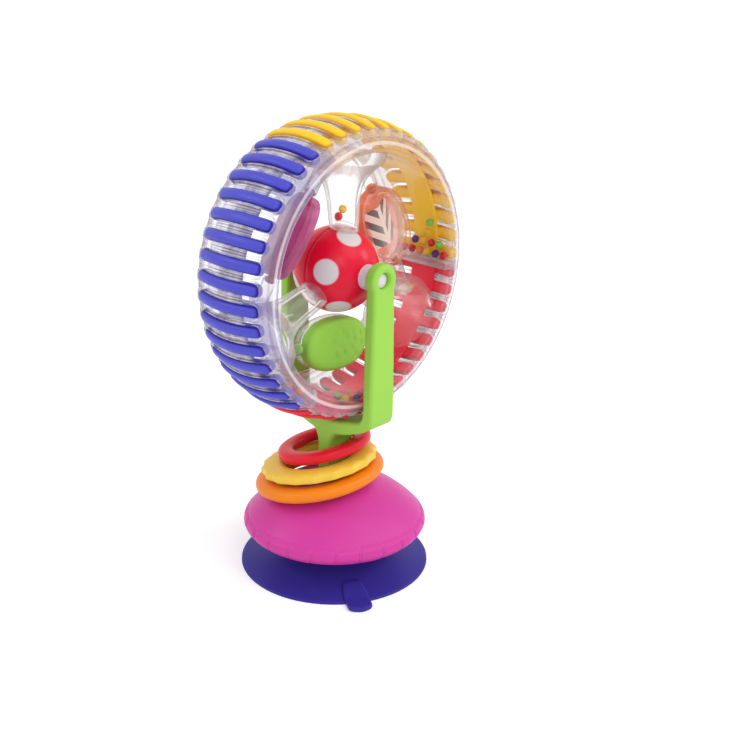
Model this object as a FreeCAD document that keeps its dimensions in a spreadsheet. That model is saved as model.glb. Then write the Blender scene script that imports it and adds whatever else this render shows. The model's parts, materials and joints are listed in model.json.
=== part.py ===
# Ferris wheel baby rattle: a clear drum of beads with ribbed treads, three flip pods and a ball hub,
# turning on a pin between the legs of a fork that stands in a domed base on a suction cup.
# Millimetres. Z is up, the wheel's axle lies along Y and the front face looks towards -Y.
import FreeCAD, Part
import math
import os
import re
import Sketcher

V = FreeCAD.Vector
doc = FreeCAD.newDocument("FerrisWheelRattle")
sheet = doc.addObject("Spreadsheet::Sheet", "Sizes")

sizes = {
    # flats round the turned pieces of the stand, and how far a cutter passes what it cuts
    "stand_sides": 36,
    "overcut": 1.0,
    # wheel drum
    "rim_radius": 55.8,
    "rim_edge_drop": 2.6,
    "rim_edge_reach": 13.6,
    "lip_drop": 7.4,
    "lip_reach": 18.8,
    "channel_depth": 10.6,
    "window_reach": 16.5,
    "shoulder_inset": 0.4,
    "clear_wall": 1.5,
    "partition_wall": 1.2,
    "partition_angle": 114.5,
    # treads
    "rib_count": 45,
    "rib_start_angle": -1.5,
    "rib_width": 4.8,
    "rib_crest_width": 3.4,
    "rib_reach": 15.3,
    "rib_rise": 1.7,
    "rib_crest_reach": 4.6,
    "rib_seat_drop": 3.9,
    "rib_slot_gap": 0.1,
    "rib_slot_room": 2.7,
    "band_half_width": 6.0,
    "band_thickness": 1.2,
    "band_gap": 0.2,
    # hollow spokes
    "spoke_angle": 85.0,
    "spoke_gap": 0.5,
    "spoke_start_radius": 5.4,
    "spoke_waist_radius": 6.6,
    "spoke_bell_radius": 9.8,
    "spoke_mouth_radius": 15.4,
    "spoke_brim_gap": 0.4,
    "spoke_wall": 1.3,
    "spoke_sides": 12,
    "peg_radius": 2.2,
    "peg_length": 3.8,
    "peg_gap": 0.1,
    # ball hub and axle
    "ball_wall": 1.6,
    "ball_sides": 24,
    "pole_flat_radius": 5.2,
    "axle_radius": 3.0,
    "axle_sides": 24,
    "axle_recess": 1.6,
    "axle_gap": 0.05,
    "bush_radius": 4.7,
    "bush_sides": 20,
    "bush_end_gap": 0.3,
    # flip pods
    "pod_clearance": 0.4,
    "pod_angle": 25.0,
    "pod_half_depth": 5.2,
    "pod_bevel": 2.0,
    "pod_wall": 1.2,
    "pod_sides": 16,
    "pin_sides": 8,
    "pin_radius": 1.3,
    "pin_length": 3.2,
    "pin_gap": 0.05,
    "pin_end_gap": 0.4,
    "socket_wall": 1.2,
    "insert_end_gap": 9.0,
    "insert_side_gap": 4.8,
    "insert_seat_gap": 0.1,
    "insert_rise": 1.6,
    "insert_thickness": 0.8,
    # beads
    "bead_radius": 1.9,
    "bead_lift": 0.5,
    # fork
    "fork_width": 13.2,
    "leg_thickness": 4.9,
    "leg_gap": 1.4,
    "boss_radius": 6.5,
    "leg_top_width": 11.2,
    "leg_taper": 45.0,
    "cradle_gap": 1.3,
    "cradle_thickness": 4.6,
    "cradle_rise": 6.2,
    "cradle_corner": 1.6,
    "cradle_corner_drop": 2.2,
    "cradle_bow": 1.4,
    "cradle_belly": 0.6,
    "fork_corner": 4.5,
    "flare_width": 3.0,
    "flare_depth": 3.0,
    "flare_lip": 0.8,
    "stem_room": 26.5,
    "stem_depth": 7.0,
    "stem_bottom": 26.0,
    # suction cup
    "cup_radius": 38.1,
    "cup_edge": 1.0,
    "cup_hollow": 3.6,
    "cup_land": 4.5,
    "cup_shoulder_radius": 22.0,
    "cup_shoulder_height": 7.5,
    "neck_radius": 17.0,
    "stud_radius": 5.0,
    "button_radius": 8.0,
    "button_height": 2.3,
    "tab_width": 10.0,
    "tab_start": 29.0,
    "tab_reach": 44.6,
    "tab_thickness": 2.0,
    "tab_corner": 2.5,
    "tab_angle": -122.0,
    # domed base
    "dome_radius": 36.7,
    "dome_waist_height": 18.2,
    "foot_radius": 31.4,
    "foot_height": 14.2,
    "skirt_radius": 35.4,
    "skirt_height": 15.8,
    "crown_radius": 9.0,
    "crown_height": 37.2,
    "dome_wall": 2.2,
    "panel_count": 18,
    "panel_groove": 0.5,
    "panel_groove_width": 0.7,
    "panel_top": 20.9,
    "panel_top_inset": 1.3,
    "plate_thickness": 1.8,
    "plate_gap": 0.2,
    "post_radius": 10.5,
    "post_bottom": 23.8,
    "screw_radius": 1.5,
    "screw_head_radius": 2.9,
    "screw_head_height": 1.6,
    "screw_length": 9.0,
    "screw_tip_gap": 0.5,
    "screw_sides": 8,
    "screw_circle": 21.5,
    "screw_boss_radius": 3.4,
    # loose rings, as mean radius, half thicknesses, and place over the dome's crown
    "orange_ring_radius": 21.7,
    "orange_ring_half": 4.4,
    "orange_ring_rise": 2.9,
    "orange_ring_x": -3.5,
    "orange_ring_y": 5.1,
    "orange_ring_lift": 0.11,
    "yellow_ring_radius": 18.6,
    "yellow_ring_half": 4.4,
    "yellow_ring_rise": 2.3,
    "yellow_ring_x": -4.3,
    "yellow_ring_y": 4.6,
    "yellow_ring_lift": 6.28,
    "yellow_ring_lobes": 18,
    "yellow_lobe_rise": 0.7,
    "red_ring_radius": 15.6,
    "red_ring_half": 3.0,
    "red_ring_rise": 2.4,
    "red_ring_x": -1.3,
    "red_ring_y": 4.7,
    "red_ring_lift": 12.25,
}

# Sizes that follow others. The wheel stands clear of the stem's room for the rings, and what turns
# inside its window keeps its share of the window.
following = {
    "rim_edge_radius": "rim_radius - rim_edge_drop",
    "lip_radius": "rim_radius - lip_drop",
    "window_radius": "rim_radius - channel_depth",
    "rib_seat_radius": "rim_radius - rib_seat_drop",
    "axle_height": "crown_height + stem_room + cradle_gap + rib_rise + rim_radius",
    "ball_radius": "0.3628 * window_radius",
    "spoke_start": "ball_radius + spoke_gap",
    "spoke_waist": "0.5531 * window_radius",
    "spoke_bell": "0.7301 * window_radius",
    "spoke_mouth": "0.8739 * window_radius",
    "pod_orbit": "0.6372 * window_radius",
    "pod_half_length": "0.354 * window_radius",
    "pod_half_width": "0.2301 * window_radius",
    "socket_reach": "0.6416 * window_radius",
    "insert_half_length": "pod_half_length - insert_end_gap",
    "insert_half_width": "pod_half_width - insert_side_gap",
}
cells = {alias: str(value) for alias, value in sizes.items()}
cells.update({alias: "=" + formula for alias, formula in following.items()})
for row, (alias, content) in enumerate(cells.items(), start=1):
    sheet.set(f"A{row}", alias)
    sheet.set(f"B{row}", content)
    sheet.setAlias(f"B{row}", alias)
doc.recompute()


def size(name):
    return float(sheet.get(name))


def bound(text):
    return re.sub(r"[a-z][a-z_]+", lambda word: "Sizes." + word[0] if word[0] in cells else word[0], text)


def bind(item, prop, text):
    item.setExpression(prop, bound(text))
    return item


def plane(body, role):
    return [feature for feature in body.Origin.OriginFeatures if feature.Role == role][0]


# Draws a closed outline whose corners are bound to the sheet.
def draw(sketch, corners):
    spots = [tuple(float(sheet.evalExpression(bound(value))) for value in corner) for corner in corners]
    count = len(corners)
    for index in range(count):
        start, end = spots[index], spots[(index + 1) % count]
        sketch.addGeometry(Part.LineSegment(V(*start, 0), V(*end, 0)), False)
    for index in range(count):
        sketch.addConstraint(Sketcher.Constraint("Coincident", index, 2, (index + 1) % count, 1))
    for index, corner in enumerate(corners):
        for kind, value, spot in zip(("DistanceX", "DistanceY"), corner, spots[index]):
            place = sketch.addConstraint(Sketcher.Constraint(kind, -1, 1, index, 1, spot))
            sketch.setExpression(f"Constraints[{place}]", bound(value))


def outline(body, role, corners):
    sketch = body.newObject("Sketcher::SketchObject", body.Name + "Outline")
    sketch.AttachmentSupport = [(plane(body, role), "")]
    sketch.MapMode = "FlatFace"
    draw(sketch, corners)
    return sketch


def solid_piece(label, shape):
    piece = doc.addObject("Part::Feature", label)
    piece.Label = label
    piece.Shape = Part.makeCompound([shape])
    return piece


def polygon(points):
    return Part.Face(Part.makePolygon([*points, points[0]]))


# Turned forms have flat facets. A corner is a radius and a distance along the axis.
def about_z(radius, along, turn):
    return V(radius * math.cos(turn), radius * math.sin(turn), along)


def about_x(radius, along, turn):
    return V(along, radius * math.cos(turn), radius * math.sin(turn))


# Wheel angles run from +X towards +Z, as seen from the front.
def about_y(radius, along, turn):
    return V(radius * math.cos(turn), along, radius * math.sin(turn))


def facet_row(place, low, high, turns):
    faces = []
    for near, far in turns:
        ring = [place(*low, near), place(*high, near), place(*high, far), place(*low, far)]
        ring = [spot for index, spot in enumerate(ring) if spot.distanceToPoint(ring[index - 1]) > 1e-6]
        if len(ring) > 2:
            faces.append(polygon(ring))
    return faces


def faceted(place, corners, sides, start=0.5, steps=None):
    pitch = 2 * math.pi / sides
    count = sides if steps is None else steps
    turns = [(pitch * (index + start), pitch * (index + 1 + start)) for index in range(count)]
    faces = []
    for index, corner in enumerate(corners):
        faces += facet_row(place, corners[index - 1], corner, turns)
    if count < sides:
        for turn in (turns[0][0], turns[-1][1]):
            faces.append(polygon([place(*corner, turn) for corner in corners]))
    solid = Part.makeSolid(Part.makeShell(faces))
    if solid.Volume < 0:
        solid.reverse()
    return solid.removeSplitter()


# The radius of a faceted hole whose flats lie on a circle of the given radius.
def flats(radius, sides):
    return radius / math.cos(math.pi / sides)


def numbers(corners):
    return [tuple(float(sheet.evalExpression(bound(value))) for value in corner) for corner in corners]


# A body that starts from a faceted form about Z.
def turned(label, corners):
    form = solid_piece(label + "_form", faceted(about_z, numbers(corners), int(size("stand_sides"))))
    body = doc.addObject("PartDesign::Body", label)
    body.Label = label
    body.BaseFeature = form
    return body


def moved(shape, centre, axis, angle):
    copy = shape.copy()
    copy.Placement = FreeCAD.Placement(V(), FreeCAD.Rotation(axis, angle), centre).multiply(copy.Placement)
    return copy


def swung(shape, angle):
    return moved(shape, V(), V(0, 1, 0), -angle)


def on_axle(piece):
    piece.setExpression("Placement.Base.z", bound("axle_height"))
    return piece


# Wheel drum: two clear half shells that meet at y = 0, written for the front half and mirrored.
wall = size("clear_wall")
rim, rim_edge, rim_reach = size("rim_radius"), size("rim_edge_radius"), size("rim_edge_reach")
lip, lip_reach = size("lip_radius"), size("lip_reach")
window, window_reach = size("window_radius"), size("window_reach")
over = size("overcut")
spoke_angles = [size("spoke_angle") + 120 * turn for turn in range(3)]
pod_angles = [size("pod_angle") + 120 * turn for turn in range(3)]
partition_angles = [size("partition_angle") + 120 * turn for turn in range(3)]
rib_pitch = 360 / size("rib_count")
ribs_each = int(size("rib_count")) // 3


def rim_surface(along):
    return rim - (rim - rim_edge) * abs(along) / rim_reach


# One flat to each rib, with the corners halfway between ribs.
def drum_ring(corners):
    return faceted(about_y, corners, int(size("rib_count")), rib_angle(0) / rib_pitch - 0.5)


def rim_channel():
    return drum_ring([(window, 0), (window, -window_reach), (lip, -lip_reach), (rim_edge, -rim_reach), (rim, 0)])


def bead_chamber():
    floor = window + wall
    reach = rim_reach - size("shoulder_inset")
    shoulder = rim_surface(reach) - wall
    return drum_ring([(floor, 0), (floor, wall - window_reach), (shoulder, -reach), (rim - wall, 0)])


def partitions():
    thick = size("partition_wall")
    walls = []
    for angle in partition_angles:
        block = Part.makeBox(rim - window - wall, lip_reach, thick, V(window + wall / 2, -lip_reach, -thick / 2))
        walls.append(swung(block, angle))
    return Part.makeCompound(walls)


# A turned form about the +X direction, from corners given as radius and distance out.
def outward(corners):
    ends = [(0, corners[0][1]), *corners, (0, corners[-1][1])]
    return faceted(about_x, ends, int(size("spoke_sides")))


def spoke_outside():
    names = ("spoke_start", "spoke_waist", "spoke_bell", "spoke_mouth")
    corners = [(size(name + "_radius"), size(name)) for name in names]
    corners.append((window_reach - size("spoke_brim_gap"), window + wall / 2))
    return outward(corners)


def spoke_inside():
    thick = size("spoke_wall")
    corners = [(size("spoke_start_radius") - thick, size("spoke_start") + thick)]
    for name in ("spoke_waist", "spoke_bell", "spoke_mouth"):
        corners.append((size(name + "_radius") - thick, size(name) + thick / 2))
    corners.append((window_reach - size("spoke_brim_gap") - thick, window + 2 * wall))
    return outward(corners)


def ball_peg():
    start = size("spoke_start")
    return outward([(size("peg_radius"), start - size("peg_length")), (size("peg_radius"), start)])


def pod_line(radius, start, end):
    side = faceted(about_z, [(0, start), (radius, start), (radius, end), (0, end)], int(size("pin_sides")))
    side = side.translated(V(size("pod_orbit"), 0, 0))
    return [side, side.mirror(V(), V(0, 0, 1))]


pin_tip = size("pod_half_length") + size("pin_length")
socket_start = size("pod_half_length") + size("pod_clearance")


def sockets():
    radius = flats(size("pin_radius") + size("pin_gap"), size("pin_sides")) + size("socket_wall")
    arms = pod_line(radius, socket_start, size("socket_reach"))
    return [swung(arm, angle) for arm in arms for angle in pod_angles]


def socket_bores():
    radius = flats(size("pin_radius") + size("pin_gap"), size("pin_sides"))
    bores = pod_line(radius, socket_start - over, pin_tip + size("pin_end_gap"))
    return [swung(bore, angle) for bore in bores for angle in pod_angles]


def rib_slots():
    width = size("rib_width") + 2 * size("rib_slot_gap")
    reach = size("rib_reach") + size("rib_slot_gap")
    low = size("rib_seat_radius") - size("rib_slot_room")
    slot = Part.makeBox(rim + over - low, reach + over, width, V(low, -reach, -width / 2))
    return [swung(slot, rib_angle(index)) for index in range(int(size("rib_count")))]


def rib_angle(index):
    return size("rib_start_angle") + rib_pitch * index


def front_shell():
    body = rim_channel()
    spokes = spoke_outside()
    inner, outer, side = window + wall / 2, rim + 2 * window, rim
    keep_out = drum_ring([(inner, -side), (outer, -side), (outer, side), (inner, side)])
    spokes = [swung(spokes.cut(keep_out), angle) for angle in spoke_angles]
    pegs = [swung(ball_peg(), angle) for angle in spoke_angles]
    half = Part.makeBox(4 * rim, rim, 4 * rim, V(-2 * rim, -rim, -2 * rim))
    arms = spokes[0].fuse([*spokes[1:], *sockets(), *pegs]).common(half)
    body = body.fuse(arms)
    hollow = bead_chamber().cut(partitions())
    cores = [swung(spoke_inside(), angle) for angle in spoke_angles]
    body = body.cut([hollow, *cores, *socket_bores(), *rib_slots()])
    return body.removeSplitter()


shell = front_shell()
on_axle(solid_piece("wheel_shell_front", shell))
on_axle(solid_piece("wheel_shell_back", shell.mirror(V(), V(0, 1, 0))))


# Treads: a third of the tapered ribs each, which stand on a band inside the drum and come out through its slots.
def rib():
    half, reach = size("rib_crest_width") / 2, size("rib_reach")
    ends = [(reach, size("rib_seat_radius")), (reach, rim_edge)]
    ends.append((0.9 * reach, rim_edge + size("rib_rise")))
    ends.append((size("rib_crest_reach"), rim + size("rib_rise")))
    lengthwise = ends + [(-along, radius) for along, radius in reversed(ends)]
    base = size("rib_width") / 2
    blank = polygon([V(radius, along, -base) for along, radius in lengthwise]).extrude(V(0, 0, 2 * base))
    start, top = rim_edge, rim + size("rib_rise")
    flank = [(start, base), (top, half), (top, base + over), (start, base + over)]
    cutter = polygon([V(out, -reach - over, side) for out, side in flank]).extrude(V(0, 2 * (reach + over), 0))
    return blank.cut([cutter, cutter.mirror(V(), V(0, 0, 1))])


def tread(first_rib):
    one = rib()
    flat = math.cos(math.pi / size("rib_count"))
    outer = (rim_surface(size("band_half_width")) - wall) * flat - size("band_gap")
    inner, half = outer - size("band_thickness"), size("band_half_width")
    section = [(inner, -half), (outer, -half), (outer, half), (inner, half)]
    band = faceted(about_y, section, int(size("rib_count")), 0, ribs_each - 1)
    band = swung(band, rib_angle(first_rib))
    ribs = [swung(one, rib_angle(first_rib + index)) for index in range(ribs_each)]
    return band.fuse(ribs).removeSplitter()


for order, colour in enumerate(("yellow", "blue", "red")):
    on_axle(solid_piece("tread_" + colour, tread(ribs_each * order)))


# Ball hub: two hollow halves on the axle, with a white bush at each pole.
ball_rows = [f"ball_radius * {call}({step} deg)" for step in (24, 48) for call in ("cos", "sin")]
pole_height = "sqrt(ball_radius ^ 2 - pole_flat_radius ^ 2)"
inner_ball = "(ball_radius - ball_wall)"
bore = "(axle_radius + axle_gap) / cos(180 deg / ball_sides)"
ball_corners = [("ball_radius", "0"), (ball_rows[0], ball_rows[1]), (ball_rows[2], ball_rows[3])]
ball_corners += [("pole_flat_radius", pole_height), (bore, pole_height), (bore, pole_height + " - ball_wall")]
ball_corners += [(inner_ball + " * cos(40 deg)", inner_ball + " * sin(40 deg)"), (inner_ball, "0")]
leg_inner = "(lip_reach + leg_gap)"
bush_bore = "(axle_radius + axle_gap) / cos(180 deg / bush_sides)"
bush_corners = [(bush_bore, pole_height), ("bush_radius", pole_height)]
bush_corners += [("bush_radius", leg_inner + " - bush_end_gap"), (bush_bore, leg_inner + " - bush_end_gap")]
peg_ends = (size("ball_radius") - 4 * size("ball_wall"), size("ball_radius") + over)
peg_room = outward([(size("peg_radius") + size("peg_gap"), out) for out in peg_ends])
half_ball = faceted(about_y, numbers(ball_corners), int(size("ball_sides")))
half_ball = half_ball.cut([swung(peg_room, angle) for angle in spoke_angles])
bush = faceted(about_y, numbers(bush_corners), int(size("bush_sides")))
for name, shape in (("ball", half_ball), ("hub_bush", bush)):
    on_axle(solid_piece(name + "_back", shape))
    on_axle(solid_piece(name + "_front", shape.mirror(V(), V(0, 1, 0))))

axle = doc.addObject("Part::Prism", "axle")
axle.Label = "axle"
bind(axle, "Polygon", "axle_sides")
bind(axle, "Circumradius", "axle_radius")
half_axle = "(lip_reach + leg_gap + leg_thickness - axle_recess)"
bind(axle, "Height", "2 * " + half_axle)
axle.Placement = FreeCAD.Placement(V(), FreeCAD.Rotation(V(1, 0, 0), 90))
bind(axle, "Placement.Base.y", half_axle)
on_axle(axle)


# Flip pods, drawn in the +X direction: a moulded tray with two pins and a lens that closes it.
def oval(scale, along):
    sides = int(size("pod_sides"))
    points = []
    for index in range(sides):
        turn = 2 * math.pi * (index + 0.5) / sides
        out = math.copysign(abs(math.cos(turn)) ** 0.85, math.cos(turn)) * size("pod_half_width")
        tangent = math.copysign(abs(math.sin(turn)) ** 0.85, math.sin(turn)) * size("pod_half_length")
        points.append(V(size("pod_orbit") + scale * out, along, scale * tangent))
    return points


# A form whose surface runs from loop to loop of points in flat facets, closed by its end loops or by itself.
def banded(loops, joined=False):
    faces = []
    pairs = list(zip(loops, loops[1:]))
    if joined:
        pairs.append((loops[-1], loops[0]))
    else:
        faces += [polygon(loops[0]), polygon(loops[-1])]
    for low, high in pairs:
        for index in range(len(low)):
            faces.append(polygon([low[index - 1], high[index - 1], high[index], low[index]]))
    solid = Part.makeSolid(Part.makeShell(faces))
    if solid.Volume < 0:
        solid.reverse()
    return solid.removeSplitter()


def pod_half(facing):
    deep, bevel, thick = size("pod_half_depth"), size("pod_bevel"), size("pod_wall")
    face = 1 - bevel / size("pod_half_width")
    inside = 1 - thick / size("pod_half_width")
    skin = banded([oval(1, 0), oval(1, facing * (deep - bevel)), oval(face, facing * deep)])
    room = [oval(inside, 0), oval(inside, facing * (deep - bevel)), oval(inside * face, facing * (deep - thick))]
    return skin.cut(banded(room))


def pod_ends():
    end = max(spot.z for spot in oval(1, 0))
    return pod_line(size("pin_radius"), end, pin_tip)


def pod_pieces(angle, tilt):
    tray, lens = pod_half(1), pod_half(-1)
    tray = tray.fuse(pod_ends())
    pieces = []
    for piece in (tray, lens):
        tipped = moved(piece, V(size("pod_orbit"), 0, 0), V(0, 0, 1), tilt)
        pieces.append(swung(tipped, angle))
    return pieces


pods = {"orange": (pod_angles[0], 0), "magenta": (pod_angles[1], -60), "green": (pod_angles[2], 180)}
for colour, (angle, tilt) in pods.items():
    tray, lens = pod_pieces(angle, tilt)
    on_axle(solid_piece(f"pod_{colour}_tray", tray))
    on_axle(solid_piece(f"pod_{colour}_lens", lens))


# Striped card of two slopes that meet in a ridge, lying in the orange tray.
def card():
    across, rise, thick = size("insert_half_width"), size("insert_rise"), size("insert_thickness")
    length = size("insert_half_length")
    floor = size("pod_half_depth") - size("pod_wall") - size("insert_seat_gap")
    roof = [(-length, floor - thick), (0, floor - thick - rise), (length, floor - thick)]
    roof += [(length, floor), (-length, floor)]
    points = [V(size("pod_orbit") - across, depth, tangent) for tangent, depth in roof]
    return polygon(points).extrude(V(2 * across, 0, 0))


on_axle(solid_piece("striped_insert", swung(card(), pod_angles[0])))


# Beads of twenty faces, loose in the chambers.
def bead():
    golden = (1 + math.sqrt(5)) / 2
    scale = size("bead_radius") / math.sqrt(1 + golden ** 2)
    corners = []
    for one in (-1, 1):
        for other in (-golden, golden):
            corners += [V(0, one, other), V(one, other, 0), V(other, 0, one)]
    faces = []
    for a in range(12):
        for b in range(a + 1, 12):
            for c in range(b + 1, 12):
                trio = [corners[a], corners[b], corners[c]]
                if all(abs(trio[k].distanceToPoint(trio[k - 1]) - 2) < 0.01 for k in range(3)):
                    faces.append(polygon([corner * scale for corner in trio]))
    return Part.makeSolid(Part.makeShell(faces))


# A bead on a chamber's floor is placed from an angle, by steps round the drum and along the axle. A bead
# in a spoke is placed from the spoke's inner end, by steps across it and out. A step is a bead's radius.
bead_step = size("bead_radius")
by_left, by_right, lowest = partition_angles[1], partition_angles[2], 270
floor_beads = {
    "red": [(by_right, 1.44, -6.11), (by_right, 1.44, 2.53), (by_right, 3.61, -2.74), (by_left, -1.49, -3.95)],
    "yellow": [(by_right, 1.44, -1.79), (by_right, 3.61, -0.53), (by_right, 5.82, -1.68), (lowest, -2.26, -5.05)],
    "purple": [(by_right, 1.44, -3.95), (by_right, 3.61, 1.68), (lowest, 0, -6.11), (by_left, -3.74, -2.74)],
    "green": [(by_right, 3.61, -4.95), (by_left, -1.49, -1.79), (by_right, 8.07, -2.63), (lowest, -2.26, -2.84)],
    "orange": [(by_right, 1.44, 0.37), (by_left, -1.49, -6.11), (lowest, 0, -3.89), (by_left, -3.74, -4.95)],
    "pink": [(by_right, 1.44, 4.68), (by_left, -3.74, -0.53), (by_left, -1.49, 0.37), (lowest, 2.26, -4.95)],
}
spoke_beads = {"red": (0.38, 0), "yellow": (-0.68, 2.19)}
floor_radius = window + wall + bead_step + size("bead_lift")
spoke_floor = size("spoke_start") + size("spoke_wall") + bead_step + size("bead_lift")
for colour, spots in floor_beads.items():
    group = []
    for angle, around, along in spots:
        lying = bead().translated(V(floor_radius, along * bead_step, 0))
        group.append(swung(lying, angle + math.degrees(around * bead_step / floor_radius)))
    if colour in spoke_beads:
        across, out = spoke_beads[colour]
        lying = bead().translated(V(spoke_floor + out * bead_step, 0, across * bead_step))
        group.append(swung(lying, spoke_angles[0]))
    on_axle(solid_piece("beads_" + colour, Part.makeCompound(group)))


# Fork: the front outline and the side outline each extruded, then the shape they share, less its bores.
def free_outline(name, corners, turn):
    sketch = doc.addObject("Sketcher::SketchObject", name)
    sketch.Placement = FreeCAD.Placement(V(), turn)
    draw(sketch, corners)
    return sketch


def extruded(name, sketch, length):
    solid = doc.addObject("Part::Extrusion", name)
    solid.Base = sketch
    solid.DirMode = "Normal"
    solid.Solid = True
    solid.Symmetric = True
    bind(solid, "LengthFwd", length)
    return solid


side_turn = FreeCAD.Rotation(V(0, 1, 0), V(0, 0, 1), V(1, 0, 0), "XYZ")
front_turn = FreeCAD.Rotation(V(1, 0, 0), 90)
leg_outer = "(lip_reach + leg_gap + leg_thickness)"
leg_top = "axle_height + boss_radius"
cradle_top = "(crown_height + stem_room)"
corner_low = "(" + cradle_top + " + cradle_rise - cradle_thickness)"
right = [
    (leg_inner, leg_top),
    (leg_inner, cradle_top + " + cradle_rise"),
    (leg_inner + " - cradle_corner", cradle_top + " + cradle_rise - cradle_corner_drop"),
    ("rim_edge_reach - cradle_corner", cradle_top + " + cradle_bow"),
    ("0", cradle_top),
]
left = [("-" + across if across != "0" else "0", up) for across, up in reversed(right[:-1])]
under = [
    ("-" + leg_outer, leg_top),
    ("-" + leg_outer, corner_low + " + fork_corner"),
    ("-(" + leg_outer + " - 0.3 * fork_corner)", corner_low + " + 0.3 * fork_corner"),
    ("-(" + leg_outer + " - fork_corner)", corner_low + " - cradle_belly"),
    ("-(stem_depth / 2 + flare_width)", cradle_top + " - cradle_thickness - flare_lip"),
    ("-stem_depth / 2", cradle_top + " - cradle_thickness - flare_depth"),
    ("-stem_depth / 2", "stem_bottom"),
]
under_right = [(across[1:], up) for across, up in reversed(under)]
side_form = extruded("fork_side_form", free_outline("fork_side", right + left + under + under_right, side_turn),
                     "2 * boss_radius + 2 * overcut")
half_leg, half_top = "fork_width / 2", "leg_top_width / 2"
head = []
for step in range(9):
    turn = f"{-24 + 28.5 * step} deg"
    head.append((f"boss_radius * cos({turn})", f"axle_height + boss_radius * sin({turn})"))
front = [("-" + half_leg, "stem_bottom"), (half_leg, "stem_bottom")]
front += [(half_leg, "axle_height - leg_taper"), (half_top, "axle_height - boss_radius"), *head]
front += [("-" + half_top, "axle_height - boss_radius"), ("-" + half_leg, "axle_height - leg_taper")]
fork_depth = "2 * (" + leg_outer + " + overcut)"
front_form = extruded("fork_front_form", free_outline("fork_front", front, front_turn), fork_depth)
fork_form = doc.addObject("Part::MultiCommon", "fork_form")
fork_form.Shapes = [side_form, front_form]
fork_bore = doc.addObject("Part::Prism", "fork_bore")
bind(fork_bore, "Polygon", "axle_sides")
bind(fork_bore, "Circumradius", "axle_radius")
bind(fork_bore, "Height", fork_depth)
fork_bore.Placement = FreeCAD.Placement(V(), front_turn)
bind(fork_bore, "Placement.Base.y", leg_outer + " + overcut")
on_axle(fork_bore)
stem_pilot = doc.addObject("Part::Prism", "stem_pilot")
bind(stem_pilot, "Polygon", "screw_sides")
bind(stem_pilot, "Circumradius", "screw_radius")
bind(stem_pilot, "Height", "screw_length")
bind(stem_pilot, "Placement.Base.z", "stem_bottom")
bores = doc.addObject("Part::MultiFuse", "fork_bores")
bores.Shapes = [fork_bore, stem_pilot]
fork = doc.addObject("Part::Cut", "fork")
fork.Label = "fork"
fork.Base = fork_form
fork.Tool = bores


# A sketched shape pushed out of, or cut into, a body, from a plane at a given height.
def pushed(body, kind, name, corners, start, length):
    sketch = body.newObject("Sketcher::SketchObject", name + "Sketch")
    sketch.AttachmentSupport = [(plane(body, "XY_Plane"), "")]
    sketch.MapMode = "FlatFace"
    sketch.setExpression("AttachmentOffset.Base.z", bound(start))
    draw(sketch, corners)
    feature = body.newObject("PartDesign::" + kind, name)
    feature.Profile = sketch
    bind(feature, "Length", length)
    return feature


# Corners on a circle, for screws and their holes.
def facets(radius, out="0"):
    corners = []
    count = int(size("screw_sides"))
    for step in range(count):
        turn = f"{360 * step // count} deg"
        corners.append((f"{out} + {radius} * cos({turn})", f"{radius} * sin({turn})"))
    return corners


def patterned(body, features, count, axis="N_Axis"):
    pattern = body.newObject("PartDesign::PolarPattern", features[0].Name + "Pattern")
    pattern.Originals = features
    pattern.Axis = (features[0].Profile[0], [axis])
    pattern.Angle = 360
    bind(pattern, "Occurrences", count)
    body.Tip = pattern
    return pattern


# Suction cup with its stud, trapped by the plate under the dome, and a tab to peel it off.
plate_bottom = "(foot_height + plate_gap)"
plate_top = "(" + plate_bottom + " + plate_thickness)"
cup_corners = [
    ("cup_radius - cup_land", "0"),
    ("cup_radius", "0"),
    ("cup_radius", "cup_edge"),
    ("cup_shoulder_radius", "cup_shoulder_height"),
    ("neck_radius", plate_bottom),
    ("stud_radius", plate_bottom),
    ("stud_radius", plate_top),
    ("button_radius", plate_top),
    ("button_radius", plate_top + " + button_height"),
    ("0", plate_top + " + button_height"),
    ("0", "cup_hollow"),
]
cup = turned("suction_cup", cup_corners)
half_tab = "tab_width / 2"
tab_side = [("tab_start", "0.8 * " + half_tab), ("tab_reach - tab_corner", half_tab)]
tab_side.append(("tab_reach", half_tab + " - tab_corner"))
tab_corners = [(out, "-(" + aside + ")") for out, aside in tab_side] + tab_side[::-1]
tab = pushed(cup, "Pad", "pull_tab", tab_corners, "cup_edge", "tab_thickness")
cup.Placement = FreeCAD.Placement(V(), FreeCAD.Rotation(V(0, 0, 1), 0))
cup.setExpression("Placement.Rotation.Angle", bound("tab_angle + 360"))

# Domed base: a shell with a post for the stem, three screw bosses and a low band of panels.
def crown_curve(share_in, share_up):
    inward = f"dome_radius - {share_in} * (dome_radius - crown_radius)"
    return inward, f"dome_waist_height + {share_up} * (crown_height - dome_waist_height)"


boss_top = crown_curve(0, 0.579)[1]
arc = [("dome_radius - panel_top_inset", "panel_top")]
arc += [crown_curve(*shares) for shares in ((0.1733, 0.3526), (0.3682, 0.579), (0.7112, 0.858))]
dome_corners = [
    ("foot_radius", "foot_height"),
    ("skirt_radius", "skirt_height"),
    ("dome_radius", "dome_waist_height"),
    *arc,
    ("crown_radius", "crown_height"),
    ("0", "crown_height"),
    ("0", "post_bottom"),
    ("post_radius", "post_bottom"),
    ("post_radius", "crown_height - 1.5 * dome_wall"),
    (crown_curve(0.415, 0)[0], boss_top + " - dome_wall"),
    ("dome_radius - 1.2 * dome_wall", "dome_waist_height"),
    ("foot_radius - dome_wall", plate_top),
    ("foot_radius - dome_wall", "foot_height"),
]
dome = turned("base_dome", dome_corners)
stem_hole = [("-fork_width / 2", "-stem_depth / 2"), ("fork_width / 2", "-stem_depth / 2")]
stem_hole += [("fork_width / 2", "stem_depth / 2"), ("-fork_width / 2", "stem_depth / 2")]
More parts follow.
